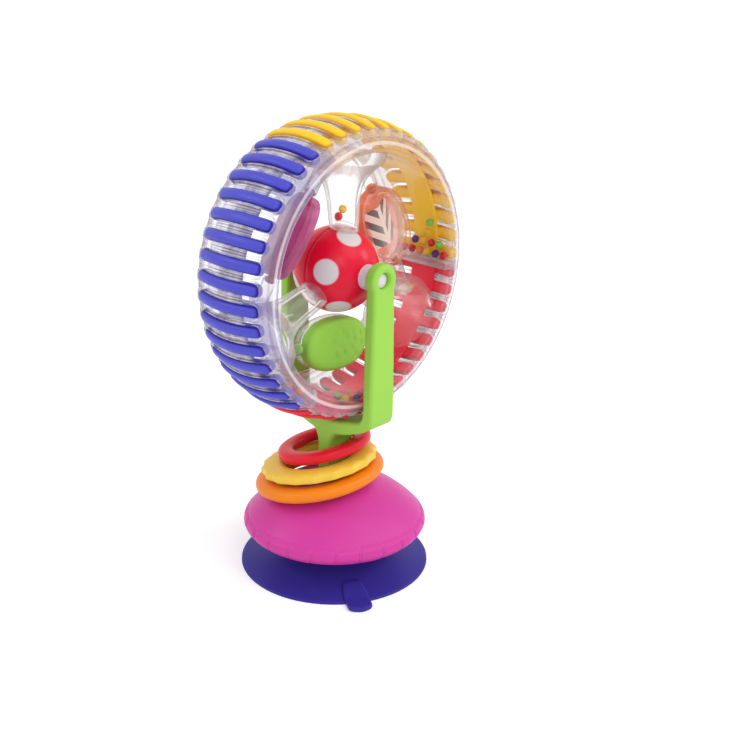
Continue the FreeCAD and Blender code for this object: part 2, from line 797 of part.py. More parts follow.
socket = pushed(dome, "Pocket", "stem_socket", stem_hole, "crown_height", "crown_height - stem_bottom")
screw_way = pushed(dome, "Pocket", "stem_screw_way", facets("screw_radius"), "stem_bottom", "stem_bottom")
boss = pushed(dome, "Pad", "screw_boss", facets("screw_boss_radius", "screw_circle"), plate_top,
              boss_top + " - " + plate_top)
pilot = pushed(dome, "Pocket", "boss_pilot", facets("screw_radius", "screw_circle"), plate_top, "screw_length")
pilot.Reversed = True
patterned(dome, [boss, pilot], "3")
groove_deep = [("foot_radius - panel_groove", "foot_height - overcut")]
groove_deep += [("skirt_radius - panel_groove", "skirt_height")]
groove_deep += [("dome_radius - panel_groove", "dome_waist_height")]
groove_deep += [("dome_radius - panel_top_inset - panel_groove", "panel_top")]
groove_open = [("dome_radius + overcut", "panel_top"), ("dome_radius + overcut", "foot_height - overcut")]
groove = dome.newObject("PartDesign::Pocket", "panel_groove_cut")
groove.Profile = outline(dome, "XZ_Plane", groove_deep + groove_open)
groove.Midplane = True
bind(groove, "Length", "panel_groove_width")
patterned(dome, [groove], "panel_count", "V_Axis")

# Plate that closes the dome, its screws and the screw up into the stem.
plate_corners = [
    ("stud_radius + plate_gap", plate_bottom),
    ("foot_radius - dome_wall - plate_gap", plate_bottom),
    ("foot_radius - dome_wall - plate_gap", plate_top),
    ("stud_radius + plate_gap", plate_top),
]
plate = turned("base_plate", plate_corners)
hole = pushed(plate, "Pocket", "plate_hole", facets("screw_radius", "screw_circle"), plate_top, "plate_thickness")
patterned(plate, [hole], "3")


def screw(head_face, shank):
    sides = int(size("screw_sides"))
    head, thread = size("screw_head_radius"), size("screw_radius")

    def prism(radius, start, length):
        turns = [math.radians(360 * step / sides) for step in range(sides)]
        ring = [V(radius * math.cos(turn), radius * math.sin(turn), start) for turn in turns]
        return polygon(ring).extrude(V(0, 0, length))

    cap = prism(head, head_face - size("screw_head_height"), size("screw_head_height"))
    return cap.fuse(prism(thread, head_face, shank)).removeSplitter()


under_plate = size("foot_height") + size("plate_gap")
base_screw = screw(under_plate, size("plate_thickness") + size("screw_length") - size("screw_tip_gap"))
base_screw = base_screw.translated(V(size("screw_circle"), 0, 0))
trio = [moved(base_screw, V(), V(0, 0, 1), 120 * turn) for turn in range(3)]
solid_piece("base_screws", Part.makeCompound(trio))
post_floor = size("stem_bottom") - size("post_bottom")
stem_thread = post_floor + size("screw_length") - size("screw_tip_gap")
solid_piece("stem_screw", screw(size("post_bottom"), stem_thread))


# Loose rings, which lean where they rest on the dome and on each other.
def leaning(colour, shape, across, along):
    piece = solid_piece(colour + "_ring", shape)
    x, y, lift = (size(f"{colour}_ring_{part}") for part in ("x", "y", "lift"))
    tip = FreeCAD.Rotation(V(0, 0, 1), V(-across, -along, 1))
    piece.Placement = FreeCAD.Placement(V(x, y, size("crown_height") + lift), tip)


def ring(colour):
    mean, half, rise = (size(f"{colour}_ring_{part}") for part in ("radius", "half", "rise"))
    shares = [(-1, -0.42), (-1, 0.42), (-0.45, 1), (0.45, 1), (1, 0.42), (1, -0.42), (0.45, -1), (-0.45, -1)]
    section = [(mean + across * half, up * rise) for across, up in shares]
    return faceted(about_z, section, int(size("stand_sides")))


leaning("orange", ring("orange"), 0.082, -0.185)
leaning("red", ring("red"), 0.09, -0.24)


# Yellow ring, lobed outside: flats on the lobes and in the dips between them.
def lobed_ring():
    mean, half, rise = size("yellow_ring_radius"), size("yellow_ring_half"), size("yellow_ring_rise")
    bump, lobes = size("yellow_lobe_rise") / 2, int(size("yellow_ring_lobes"))

    def loop(radius, up, wave):
        points = []
        for index in range(2 * lobes):
            reach = radius * (1 + (wave if index // 2 % 2 else -wave) / (mean + half))
            turn = math.pi * (index + 0.5) / lobes
            points.append(about_z(reach, up, turn))
        return points

    outside = [loop(mean + 0.5 * half, -rise, bump), loop(mean + half, -0.4 * rise, bump)]
    outside += [loop(mean + half, 0.4 * rise, bump), loop(mean + 0.5 * half, rise, bump)]
    inside = [loop(mean - 0.5 * half, rise, 0), loop(mean - half, 0, 0), loop(mean - 0.5 * half, -rise, 0)]
    return banded(outside + inside, joined=True)


leaning("yellow", lobed_ring(), 0.06, -0.195)

# Every sub-part is checked before any file is written.
nodes = """
suction_cup base_dome base_plate base_screws stem_screw orange_ring yellow_ring red_ring fork axle
hub_bush_front hub_bush_back ball_front ball_back wheel_shell_front wheel_shell_back
tread_yellow tread_blue tread_red pod_orange_tray pod_orange_lens striped_insert
pod_magenta_tray pod_magenta_lens pod_green_tray pod_green_lens
beads_red beads_yellow beads_purple beads_green beads_orange beads_pink
""".split()
doc.recompute()
for item in doc.Objects:
    if "Invalid" in item.State or "Error" in item.State:
        raise RuntimeError(f"{item.Label} failed: {item.State}")
pieces = {item.Label: item for item in doc.Objects if item.Label in nodes}
for name in nodes:
    shape = pieces[name].Shape
    if shape.isNull() or not shape.isValid() or not shape.Solids:
        raise RuntimeError(f"{name} has no sound shape")
os.makedirs("parts", exist_ok=True)
for name in nodes:
    pieces[name].Shape.exportStep(f"parts/{name}.step")
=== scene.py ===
# A clear bead wheel with ribbed treads, flip pods and a ball hub, in a fork on a domed suction base.
# Sizes are in millimetres. makeMesh turns them into metres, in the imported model's own frame.
import bmesh
import bpy
import json
import math
from mathutils import Matrix, Vector


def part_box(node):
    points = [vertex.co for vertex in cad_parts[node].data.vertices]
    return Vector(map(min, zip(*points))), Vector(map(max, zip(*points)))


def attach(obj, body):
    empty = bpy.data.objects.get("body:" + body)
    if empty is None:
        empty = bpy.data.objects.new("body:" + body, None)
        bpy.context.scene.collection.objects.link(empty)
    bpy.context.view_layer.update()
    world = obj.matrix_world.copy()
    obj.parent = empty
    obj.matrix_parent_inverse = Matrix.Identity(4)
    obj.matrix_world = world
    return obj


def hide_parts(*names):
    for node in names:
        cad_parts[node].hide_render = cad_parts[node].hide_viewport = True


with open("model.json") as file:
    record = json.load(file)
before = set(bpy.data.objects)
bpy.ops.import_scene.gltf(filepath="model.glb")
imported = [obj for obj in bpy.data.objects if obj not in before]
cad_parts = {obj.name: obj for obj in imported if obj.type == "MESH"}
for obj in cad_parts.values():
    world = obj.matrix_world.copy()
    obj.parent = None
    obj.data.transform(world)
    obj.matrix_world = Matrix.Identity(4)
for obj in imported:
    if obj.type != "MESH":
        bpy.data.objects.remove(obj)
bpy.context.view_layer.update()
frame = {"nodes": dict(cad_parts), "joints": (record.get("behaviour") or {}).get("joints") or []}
mm = 0.001
joints = {joint["name"]: joint for joint in frame["joints"]}
print("frame loaded")


def jointPlace(name):
    return Vector(joints[name]["pos_m"]) / mm, Vector(joints[name]["axis"])


def boxOf(node):
    low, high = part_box(node)
    return low / mm, high / mm


hub = jointPlace("wheel_spin")[0]


# Shader sockets that take plain arithmetic, and a maker for every other node.
class Value:
    def __init__(self, paint, socket):
        self.paint = paint
        self.socket = socket

    def work(self, operation, *others):
        terms = dict(enumerate((self, *others)))
        return self.paint.add("ShaderNodeMath", {"operation": operation}, terms)["Value"]

    def size(self):
        return self.work("ABSOLUTE")

    def part(self):
        return self.work("FRACT")

    def __add__(self, other):
        return self.work("ADD", other)

    def __sub__(self, other):
        return self.work("SUBTRACT", other)

    def __rsub__(self, other):
        return self * -1 + other

    def __mul__(self, other):
        return self.work("MULTIPLY", other)

    def __pow__(self, other):
        return self.work("POWER", other)

    def __gt__(self, other):
        return self.work("GREATER_THAN", other)

    def most(self, other):
        return self.work("MAXIMUM", other)

    def least(self, other):
        return self.work("MINIMUM", other)

    __radd__, __rmul__ = __add__, __mul__


def pick(sockets, name):
    if isinstance(name, int):
        return sockets[name]
    return [socket for socket in sockets if socket.name == name and socket.enabled][0]


# Nodes of one material, or of the world.
class Paint:
    def __init__(self, name, library=bpy.data.materials):
        self.owner = library.new(name)
        self.owner.use_nodes = True
        self.tree = self.owner.node_tree
        self.tree.nodes.clear()

    def add(self, kind, settings=None, inputs=None):
        node = self.tree.nodes.new(kind)
        for name, value in (settings or {}).items():
            if name == "stops":
                ramp = node.color_ramp.elements
                while len(ramp) < len(value):
                    ramp.new(0.5)
                for stop, (place, colour) in zip(ramp, value):
                    stop.position = place
                    stop.color = colour
            else:
                setattr(node, name, value)
        for name, value in (inputs or {}).items():
            if isinstance(value, Value):
                self.tree.links.new(value.socket, pick(node.inputs, name))
            else:
                pick(node.inputs, name).default_value = value
        return {out.name: Value(self, out) for out in node.outputs if out.enabled}

    def vector(self, operation, *terms):
        result = "Value" if operation == "DOT_PRODUCT" else "Vector"
        return self.add("ShaderNodeVectorMath", {"operation": operation}, dict(enumerate(terms)))[result]

    def mix(self, share, first, second):
        inputs = {"Factor": share, "A": first, "B": second}
        return self.add("ShaderNodeMix", {"data_type": "RGBA"}, inputs)["Result"]

    def blend(self, share, first, second):
        return self.add("ShaderNodeMixShader", {}, {0: share, 1: first, 2: second})["Shader"]

    def coat(self, inputs):
        return self.add("ShaderNodeBsdfPrincipled", {}, inputs)["BSDF"]

    def place(self):
        return self.add("ShaderNodeTexCoord")["Object"]

    def noise(self, scale, detail=3.0, place=None):
        inputs = {"Vector": place or self.place(), "Scale": scale, "Detail": detail}
        return self.add("ShaderNodeTexNoise", {}, inputs)["Fac"]

    def step(self, value, low, high, kind="SMOOTHSTEP"):
        ranges = {"Value": value, "From Min": low, "From Max": high}
        return self.add("ShaderNodeMapRange", {"interpolation_type": kind}, ranges)["Result"]

    # Colours along a value that runs from the first stop to the last, as (value, colour) stops.
    def ramp(self, value, stops):
        low, high = stops[0][0], stops[-1][0]
        places = [((spot - low) / (high - low), shade) for spot, shade in stops]
        share = (value - low) * (1 / (high - low))
        return self.add("ShaderNodeValToRGB", {"stops": places}, {"Fac": share})["Color"]

    def bump(self, height, strength, depth):
        inputs = {"Height": height, "Strength": strength, "Distance": depth}
        return self.add("ShaderNodeBump", {}, inputs)["Normal"]

    # How near the surface is to being seen along its own plane.
    def slope(self):
        return self.add("ShaderNodeLayerWeight", {}, {"Blend": 0.5})["Facing"]

    # 1 where the camera looks, straight or by way of gloss or clear plastic.
    def viewed(self):
        rays = self.add("ShaderNodeLightPath")
        return rays["Is Camera Ray"].most(rays["Is Glossy Ray"]).most(rays["Is Transmission Ray"])

    def done(self, shader, output="ShaderNodeOutputMaterial"):
        self.add(output, {}, {"Surface": shader})
        return self.owner


def tone(text, shade=1.0):
    parts = [int(text[index:index + 2], 16) / 255 for index in (0, 2, 4)]
    bare = [part / 12.92 if part <= 0.04045 else ((part + 0.055) / 1.055) ** 2.4 for part in parts]
    return (*[part * shade for part in bare], 1.0)


# Millimetres across, along the axle and up from the wheel's middle, and the radius about the axle.
def wheelPlace(paint, place):
    parts = paint.add("ShaderNodeSeparateXYZ", {}, {"Vector": paint.vector("SUBTRACT", place, hub * mm)})
    across, depth, up = (parts[axis] * (1 / mm) for axis in "XYZ")
    return across, depth, up, (across * across + up * up) ** 0.5


moulding = {
    "cloudScale": 35.0,  # slow drift of pigment through a moulding
    "grainScale": 1400.0,  # fine grain of the mould's steel
    "grainDepth": 0.00002,
    "drift": (0.93, 1.035),  # how far the pigment darkens and lightens
    "glossSwing": 0.16,
    "specular": 0.22,  # low, as the real pieces are satin
}


# Opaque plastic of any colour: uneven gloss and a fine grain from the mould.
def moulded(paint, place, cloud, shade, rough, grain=0.25):
    speck = paint.noise(moulding["grainScale"], 2.0, place)
    swing = moulding["glossSwing"]
    return paint.done(paint.coat({
        "Base Color": shade,
        "Roughness": cloud * swing + (rough - swing / 2),
        "Specular IOR Level": moulding["specular"],
        "Normal": paint.bump(speck, grain, moulding["grainDepth"]),
    }))


def mouldedPlastic(name, colour, rough=0.32, grain=0.25):
    paint = Paint(name)
    place = paint.place()
    cloud = paint.noise(moulding["cloudScale"], 4.0, place)
    shade = paint.mix(cloud, *[tone(colour, share) for share in moulding["drift"]])
    return moulded(paint, place, cloud, shade, rough, grain)


# Treads: sausage-shaped ribs whose crest follows the rim, on a band inside the drum.
treads = {
    # Crest colour of each band's ribs, and the darker colour painted on their flanks as shade.
    "colours": {"yellow": ("F4CA24", "D99A10"), "blue": ("4C4CC4", "281F98"), "red": ("EC2040", "B8102C")},
    "count": 45, "firstAngle": -1.5, "halfLength": 15.5, "halfWidth": 2.25,
    "splay": 0.16,  # share by which the root is wider and the crest narrower
    "depth": 4.6, "crestRadius": 57.4, "crestDrop": 2.3, "dropReach": 13.6,
    "roundness": 3.2,  # above 2 the section grows squarer
    "overswing": 1.02,  # crowds the rows towards the rounded ends
    "leastScale": 0.02, "rows": 30, "columns": 20, "bandInner": 51.6, "bandOuter": 52.8,
    "bandHalf": 6.0, "bandCorner": 0.4,
    "bandPast": 1.6,  # degrees by which a band passes its last rib
    "bandSteps": 60, "drift": (0.94, 1.05), "rough": 0.36,
    # Painted light: the tread's inner face, seen through the drum, is lightened by this share.
    "innerPaintedLight": 1.15,  # the face that is seen through the drum is a little lighter
    "innerFade": 0.6,
    # Painted shade: the flanks darken from this far below the crest down to flankEnd.
    "flankStart": 0.3,  # how far below its crest a rib's colour deepens
    "flankEnd": 1.2,
}
ribPitch = 360 / treads["count"]


def crestFall(along):
    return along * along * (treads["crestDrop"] / treads["dropReach"] ** 2)


# Each rib's flanks get painted shade: they are deeper in colour than its crest.
def treadPlastic(name, colour, flankShade):
    paint = Paint(name)
    place = paint.place()
    depth, radius = wheelPlace(paint, place)[1::2]
    # Mask of the painted shade on the flanks below each rib's crest.
    below = paint.step(treads["crestRadius"] - crestFall(depth) - radius, treads["flankStart"], treads["flankEnd"])
    # Mask of the painted light on the band's inner face.
    shallow = paint.step(radius, treads["bandOuter"], treads["bandOuter"] + treads["innerFade"])
    cloud = paint.noise(moulding["cloudScale"], 4.0, place)
    shade = paint.mix(cloud, *[tone(colour, share) for share in treads["drift"]])
    shade = paint.mix(shallow, tone(colour, treads["innerPaintedLight"]), paint.mix(below, shade, tone(flankShade)))
    return moulded(paint, place, cloud, shade, treads["rough"])


# Surface of clear plastic: where cover is low it lets light straight through, with a faint mirror gloss.
clearGloss = {
    "index": 1.3, "share": 0.6, "rough": 0.05, "most": 0.96, "mistScale": 60.0,
    "mistRough": (0.15, 0.1), "wallSpecular": 0.3, "cloudScale": 90.0,
}


def clearSurface(paint, cover, colour, tint="FFFFFF"):
    low, swing = clearGloss["mistRough"]
    rough = paint.noise(clearGloss["mistScale"]) * swing + low
    wall = paint.coat({"Base Color": colour, "Roughness": rough, "Specular IOR Level": clearGloss["wallSpecular"]})
    through = paint.add("ShaderNodeBsdfTransparent", {}, {"Color": tone(tint)})["BSDF"]
    gloss = {"Color": (1, 1, 1, 1), "Roughness": clearGloss["rough"]}
    mirror = paint.add("ShaderNodeBsdfGlossy", {}, gloss)["BSDF"]
    fresnel = paint.add("ShaderNodeFresnel", {}, {"IOR": clearGloss["index"]})["Fac"]
    bare = paint.blend(fresnel * clearGloss["share"], through, mirror)
    return paint.done(paint.blend(cover.least(clearGloss["most"]), bare, wall))


# Clear or tinted plastic: open face on, coloured like its rim where it is seen along its wall.
def clearPlastic(name, haze, edge, power, body="FFFFFF", rim="A48FA2", tint="FFFFFF", rimStart=0.55):
    paint = Paint(name)
    slope = paint.slope()
    cover = haze * (paint.noise(clearGloss["cloudScale"]) + 0.5) + edge * slope ** power
    colour = paint.ramp(slope, [(0.0, tone(body)), (rimStart, tone(body)), (0.95, tone(rim)), (1.0, tone(rim))])
    return clearSurface(paint, cover, colour, tint)


# The drum's plastic: painted rings on its two lips that stand in for refraction lines, with a painted highlight
# band, a painted pale highlight and a fine painted line of shade round each rib, and frosting between the ribs.
# Stops are (radius or distance in mm, cover, colour).
drumLines = {
    "haze": 0.01, "edge": 0.7, "power": 4.5, "edgeSlope": (0.6, 0.9), "edgeTone": "AA97A9",
    "frostEdgeTone": "D2CADC", "frost": 0.55, "frostReach": (7.0, 11.0), "streakScale": 220.0,
    "streaks": (0.65, 0.7), "lipReach": (15.2, 16.0), "haloReach": (12.0, 14.5),
    "haloLeast": 0.2,  # share of the halo along a rib's sides
    "rimStart": (51.0, 52.0),
    # Lip stops: mauve painted lines of refraction shade, and a white painted highlight band from 48.5 to 49.4 mm.
    "lip": [(44.3, 0.35, "A893A8"), (44.8, 0.3, "B9A6B6"), (45.2, 0.08, "F4EEF4"), (46.3, 0.05, "F4EEF4"),
            (46.7, 0.42, "A890A4"), (47.1, 0.36, "B7A0B0"), (47.4, 0.06, "F4EEF4"), (48.1, 0.1, "F7F2F6"),
            (48.5, 0.5, "F3EDF3"), (49.4, 0.5, "F3EDF3"), (49.8, 0.3, "C0A6B4"), (50.2, 0.3, "BEA3B2"),
            (50.9, 0.5, "97809A"), (51.3, 0.46, "A08BA2"), (51.7, 0.34, "C4BACB"), (55.0, 0.28, "D2CAD8")],
    # Halo stops: a painted pale highlight beside each rib, and a painted dark line of shade about 1 mm out.
    "paintedHalo": [(0.1, 0.2, "FFFFFF"), (0.3, 0.42, "FBF7FB"), (0.8, 0.34, "F6F0F6"), (1.0, 0.5, "8F8598"),
             (1.25, 0.42, "A397A6"), (1.5, 0.1, "F2ECF2"), (3.0, 0.05, "F6F2F6")],
}


def drumPlastic(name):
    paint = Paint(name)
    across, depth, up, radius = wheelPlace(paint, paint.place())
    along = depth.size()
    pitch = math.radians(ribPitch)
    turn = up.work("ARCTAN2", across) - math.radians(treads["firstAngle"])
    aside = ((turn * (1 / pitch) + 0.5).part() - 0.5) * radius * pitch
    past = (along - (treads["halfLength"] - treads["halfWidth"])).most(0.0)
    gap = (aside * aside + past * past) ** 0.5 - treads["halfWidth"]
    covers, colours = [], []
    for value, key in ((radius, "lip"), (gap, "paintedHalo")):
        covers.append(paint.ramp(value, [(spot, (cover, cover, cover, 1)) for spot, cover, _ in drumLines[key]]))
        colours.append(paint.ramp(value, [(spot, tone(shade)) for spot, _, shade in drumLines[key]]))
    lip = paint.step(along, *drumLines["lipReach"])
    outside = paint.step(radius, *drumLines["rimStart"])
    streaks = paint.noise(drumLines["streakScale"], 4.0)
    frost = (1 - paint.step(along, *drumLines["frostReach"])) * drumLines["frost"]
    slope = paint.slope()
    least = drumLines["haloLeast"]
    paintedHalo = covers[1] * (paint.step(along, *drumLines["haloReach"]) * (1 - least) + least)
    cover = covers[0] * lip + paintedHalo * outside * (1 - lip) + frost * outside * streaks * 2
    low, swing = drumLines["streaks"]
    cover = cover * (streaks * swing + low) + drumLines["haze"] + drumLines["edge"] * slope ** drumLines["power"]
    edge = paint.mix(frost > 0.01, tone(drumLines["edgeTone"]), tone(drumLines["frostEdgeTone"]))
    colour = paint.mix(paint.step(slope, *drumLines["edgeSlope"]), paint.mix(lip, colours[1], colours[0]), edge)
    return clearSurface(paint, cover, colour)


# Ball: white dots in two rings of five about the poles, printed on red.
ballDots = {
    "halfAngle": 16.6, "polarAngle": 60.0,
    "starts": {-1: 96.0, 1: 132.0},
    "count": 5, "softness": 0.012, "redDrift": (0.93, 1.04), "whiteDrift": (0.96, 1.0),
    "rough": 0.2, "roughSwing": 0.14,
    "dotRough": 0.1,  # how much duller the print is than the moulding
    "relief": 0.6, "grain": 0.1, "reliefDepth": 0.00015,
}


def dottedPlastic(name, colour, dotColour):
    paint = Paint(name)
    place = paint.place()
    out = paint.vector("NORMALIZE", paint.vector("SUBTRACT", place, hub * mm))
    polar = math.radians(ballDots["polarAngle"])
    nearest = None
    for side, start in ballDots["starts"].items():
        for index in range(ballDots["count"]):
            turn = math.radians(start + 360 * index / ballDots["count"])
            spot = (math.sin(polar) * math.cos(turn), side * math.cos(polar), math.sin(polar) * math.sin(turn))
            reach = paint.vector("DOT_PRODUCT", out, spot)
            nearest = reach if nearest is None else nearest.most(reach)
    limit = math.cos(math.radians(ballDots["halfAngle"]))
    soft = ballDots["softness"] / 2
    mask = paint.step(nearest, limit - soft, limit + soft, "LINEAR")
    cloud = paint.noise(moulding["cloudScale"], 4.0, place)
    red = paint.mix(cloud, *[tone(colour, share) for share in ballDots["redDrift"]])
    white = paint.mix(cloud, *[tone(dotColour, share) for share in ballDots["whiteDrift"]])
    speck = paint.noise(moulding["grainScale"], 2.0, place)
    return paint.done(paint.coat({
        "Base Color": paint.mix(mask, red, white),
        "Roughness": cloud * ballDots["roughSwing"] + ballDots["rough"] + mask * ballDots["dotRough"],
        "Specular IOR Level": moulding["specular"],
        "Normal": paint.bump(mask * ballDots["relief"] + speck * ballDots["grain"], 0.5, ballDots["reliefDepth"]),
    }))


# Steel of the screws, unevenly bright.
plating = {"scale": 400.0, "tones": ("8A8A90", "C8C8CC"), "rough": 0.22, "roughSwing": 0.2}


def platedSteel(name):
    paint = Paint(name)
    cloud = paint.noise(plating["scale"], 4.0)
    shade = paint.mix(cloud, *[tone(code) for code in plating["tones"]])
    rough = cloud * plating["roughSwing"] + plating["rough"]
    return paint.done(paint.coat({"Base Color": shade, "Roughness": rough, "Metallic": 1.0}))


# Opaque finishes are colour, roughness and grain. Clear ones are clearPlastic's numbers and colours.
opaque = {
    "greenPlastic": ("9AD24E", 0.4),
    "magentaPlastic": ("CE3B9B", 0.4),
    "orangePlastic": ("F08416", 0.4),
    "ringYellow": ("EEC646", 0.4),
    "ringRed": ("DE1A2E", 0.34),
    "whitePlastic": ("DCD6DA", 0.34),
    "navyRubber": ("332A8E", 0.46, 0.4),
}
clear = {
    "clearSpoke": (0.04, 0.95, 4.2, "EFEDEE", "8C7C8C"),
    "clearLens": (0.04, 0.9, 3.6, "FFFFFF", "A892A4"),
    "clearWall": (0.3, 0.6, 2.0, "EFDCE4", "B594A6"),
    "orangeClear": (0.34, 0.6, 1.6, "FB9260", "F4600C", "FFC4A6"),
    "orangeLens": (0.05, 0.95, 4.0, "FBEDE8", "CC4A18", "FFF8F4", 0.5),
    "magentaClear": (0.62, 0.5, 1.6, "B03A7C", "C8287C", "E07AB4"),
    "magentaLens": (0.2, 0.8, 3.0, "E08CBC", "B82C7C", "F4B4D8"),
}
beadColours = {"red": "D8121F", "yellow": "F4C81E", "purple": "5A2484", "green": "84D050",
               "orange": "F58A1C", "pink": "E8306C"}
finishes = {name: mouldedPlastic(name, *looks) for name, looks in opaque.items()}
finishes.update({name: clearPlastic(name, *looks) for name, looks in clear.items()})
finishes["clearDrum"] = drumPlastic("clearDrum")
finishes["dottedBall"] = dottedPlastic("dottedBall", "E21034", "D8D0D0")
finishes["steel"] = platedSteel("steel")
for colour, code in beadColours.items():
    name = "bead" + colour.title()
    finishes[name] = mouldedPlastic(name, code, 0.24)
for colour, tones in treads["colours"].items():
    name = colour + "Tread"
    finishes[name] = treadPlastic(name, *tones)
print("finishes mixed")


# Line through points, rounded as a Catmull-Rom curve.
def rounded(points, steps, closed=False):
    points = [Vector(point) for point in points]
    ends = (points[-1], points[:2]) if closed else (points[0] * 2 - points[1], [points[-1] * 2 - points[-2]])
    points = [ends[0], *points, *ends[1]]
    line = []
    for a, b, c, d in zip(points, points[1:], points[2:], points[3:]):
        for t in (step / steps for step in range(steps)):
            line.append(0.5 * (2 * b + (c - a) * t + (2 * a - 5 * b + 4 * c - d) * t ** 2
                               + (3 * b - a - 3 * c + d) * t ** 3))
    return line if closed else line + [points[-2]]


# Skin over loops of points. The end loops are capped, or joined to each other.
def skin(loops, joinEnds=False):
    size, rows = len(loops[0]), len(loops)
    points = [point for loop in loops for point in loop]
    faces = []
    for row in range(rows if joinEnds else rows - 1):
        low, high = row * size, (row + 1) % rows * size
        for index in range(size):
            after = (index + 1) % size
            faces.append((low + index, low + after, high + after, high + index))
    for row in () if joinEnds else (0, rows - 1):
        for index in range(size):
            pair = (row * size + index, row * size + (index + 1) % size)
            faces.append((*pair, len(points)) if row else (*pair[::-1], len(points)))
        points.append(sum(loops[row], Vector()) / size)
    return points, faces


# Straight bar between two ends, with the outline as its section.
def prism(outline, ends, place):
    count = len(outline)
    points = [place(*spot, end) for end in ends for spot in outline]
    faces = [tuple(range(count)), tuple(reversed(range(count, 2 * count)))]
    for index in range(count):
        after = (index + 1) % count
        faces.append((index, after, count + after, count + index))
    return points, faces


def merged(parts):
    points, faces = [], []
    for somePoints, someFaces in parts:
        faces += [tuple(corner + len(points) for corner in face) for face in someFaces]
        points += somePoints
    return points, faces


def turnsOf(count):
    return [2 * math.pi * index / count for index in range(count)]


def turnedLoops(profile, place, count):
    return [[place(radius, along, turn) for turn in turnsOf(count)] for radius, along in profile]


def turned(profile, place, count, joinEnds=False):
    return skin(turnedLoops(profile, place, count), joinEnds)


def aboutStem(radius, along, turn):
    return Vector((radius * math.cos(turn), radius * math.sin(turn), along))


def aboutAxle(radius, along, turn):
    return hub + Vector((radius * math.cos(turn), along, radius * math.sin(turn)))


# Point of the wheel from a wheel angle in degrees, seen from the front.
def onWheel(angle, out, tangent, along):
    turn = math.radians(angle)
    ahead = Vector((math.cos(turn), 0, math.sin(turn)))
    aside = Vector((-math.sin(turn), 0, math.cos(turn)))
    return hub + ahead * out + aside * tangent + Vector((0, along, 0))


def setAll(thing, **settings):
    for name, value in settings.items():
        setattr(thing, name, value)
    return thing


def shown(name, data, **settings):
    piece = setAll(bpy.data.objects.new(name, data), **settings)
    bpy.context.scene.collection.objects.link(piece)
    return piece


def makeMesh(name, points, faces, limit=40):
    mesh = bpy.data.meshes.new(name)
    mesh.from_pydata([tuple(point * mm) for point in points], [], faces)
    form = bmesh.new()
    form.from_mesh(mesh)
    bmesh.ops.remove_doubles(form, verts=form.verts, dist=0.001 * mm)
    bmesh.ops.recalc_face_normals(form, faces=form.faces)
    for face in form.faces:
        face.smooth = True
    for edge in form.edges:
        edge.smooth = edge.calc_face_angle(math.pi) < math.radians(limit)
    form.to_mesh(mesh)
    form.free()
    return shown(name, mesh)


def dress(piece, finish, body, slot, *nodes):
    piece.data.materials.clear()
    piece.data.materials.append(finishes[finish])
    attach(piece, body)
    if nodes:
        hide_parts(*nodes)


def mould(name, form, finish, body, slot, *nodes, limit=40):
    dress(makeMesh(name, *form, limit=limit), finish, body, slot, *nodes)


def roundPower(value, power):
    return math.copysign(abs(value) ** (2 / power), value)


def ribForm(angle):
    reach, half, depth, rows = (treads[key] for key in ("halfLength", "halfWidth", "depth", "rows"))
    loops = []
    for row in range(rows + 1):
        swing = math.pi * (row / rows - 0.5)
        along = max(min(math.sin(swing) * reach * treads["overswing"], reach), -reach)
        past = max(abs(along) - (reach - half), 0) / half
        scale = math.sqrt(max(1 - past ** 2, treads["leastScale"] ** 2))
        middle = treads["crestRadius"] - crestFall(along) - depth / 2
        loop = []
        for turn in turnsOf(treads["columns"]):
            rise = roundPower(math.cos(turn), treads["roundness"]) * scale
            aside = roundPower(math.sin(turn), treads["roundness"]) * half * scale
            loop.append(onWheel(angle, middle + rise * depth / 2, aside * (1 - treads["splay"] * rise), along))
        loops.append(loop)
    return skin(loops)


def bandForm(first, last):
    half, corner, steps = treads["bandHalf"], treads["bandCorner"], treads["bandSteps"]
    low, high = treads["bandInner"], treads["bandOuter"]
    section = [(low, corner - half), (low + corner, -half), (high - corner, -half), (high, corner - half)]
    section += [(radius, -along) for radius, along in reversed(section)]
    angles = [first + (last - first) * step / steps for step in range(steps + 1)]
    return skin([[onWheel(angle, radius, 0, along) for radius, along in section] for angle in angles])


ribShare = treads["count"] // len(treads["colours"])
for order, colour in enumerate(treads["colours"]):
    angles = [treads["firstAngle"] + ribPitch * (ribShare * order + index) for index in range(ribShare)]
    parts = [ribForm(angle) for angle in angles]
    parts.append(bandForm(angles[0] - treads["bandPast"], angles[-1] + treads["bandPast"]))
    mould(colour + "Tread", merged(parts), colour + "Tread", "wheel", colour + "_tread", "tread_" + colour)
print("treads moulded")

# Drum: the clear ring, with a raised lip of plastic round every rib and a seam where its halves meet.
# The line runs over the front lip as (radius, place along the axle).
drum = {
    "line": [(45.2, -14.6), (45.25, -16.6), (45.7, -17.5), (46.5, -17.85), (47.3, -17.9), (48.1, -18.45),
             (48.9, -18.75), (49.7, -18.6), (50.5, -18.0), (51.6, -17.6), (52.4, -16.9), (52.8, -15.9),
             (52.6, -15.2)],
    "outsideFrom": 49.5, "rimRadius": 55.6, "rimDrop": 2.4, "seamDepth": 0.18, "seamWidth": 0.35,
    "lipHeight": 0.9, "lipWidth": 0.55, "lipOffset": 0.7, "columns": 720, "outerRow": 0.55,
    "innerRows": 20, "sharp": 70,
}


def drumProfile():
    front = rounded(drum["line"], 4)
    (inner, start), edge, steps = drum["line"][0], drum["line"][-1][1], drum["innerRows"]
    rows = int(-2 * edge / drum["outerRow"])
    outer = []
    for row in range(rows + 1):
        along = edge - 2 * edge * row / rows
        outer.append(Vector((drum["rimRadius"] - drum["rimDrop"] * (along / treads["dropReach"]) ** 2, along)))
    back = [Vector((point.x, -point.y)) for point in reversed(front)]
    wall = [Vector((inner, 2 * start * step / steps - start)) for step in range(1, steps)]
    return front[:-1] + outer + back[1:] + wall


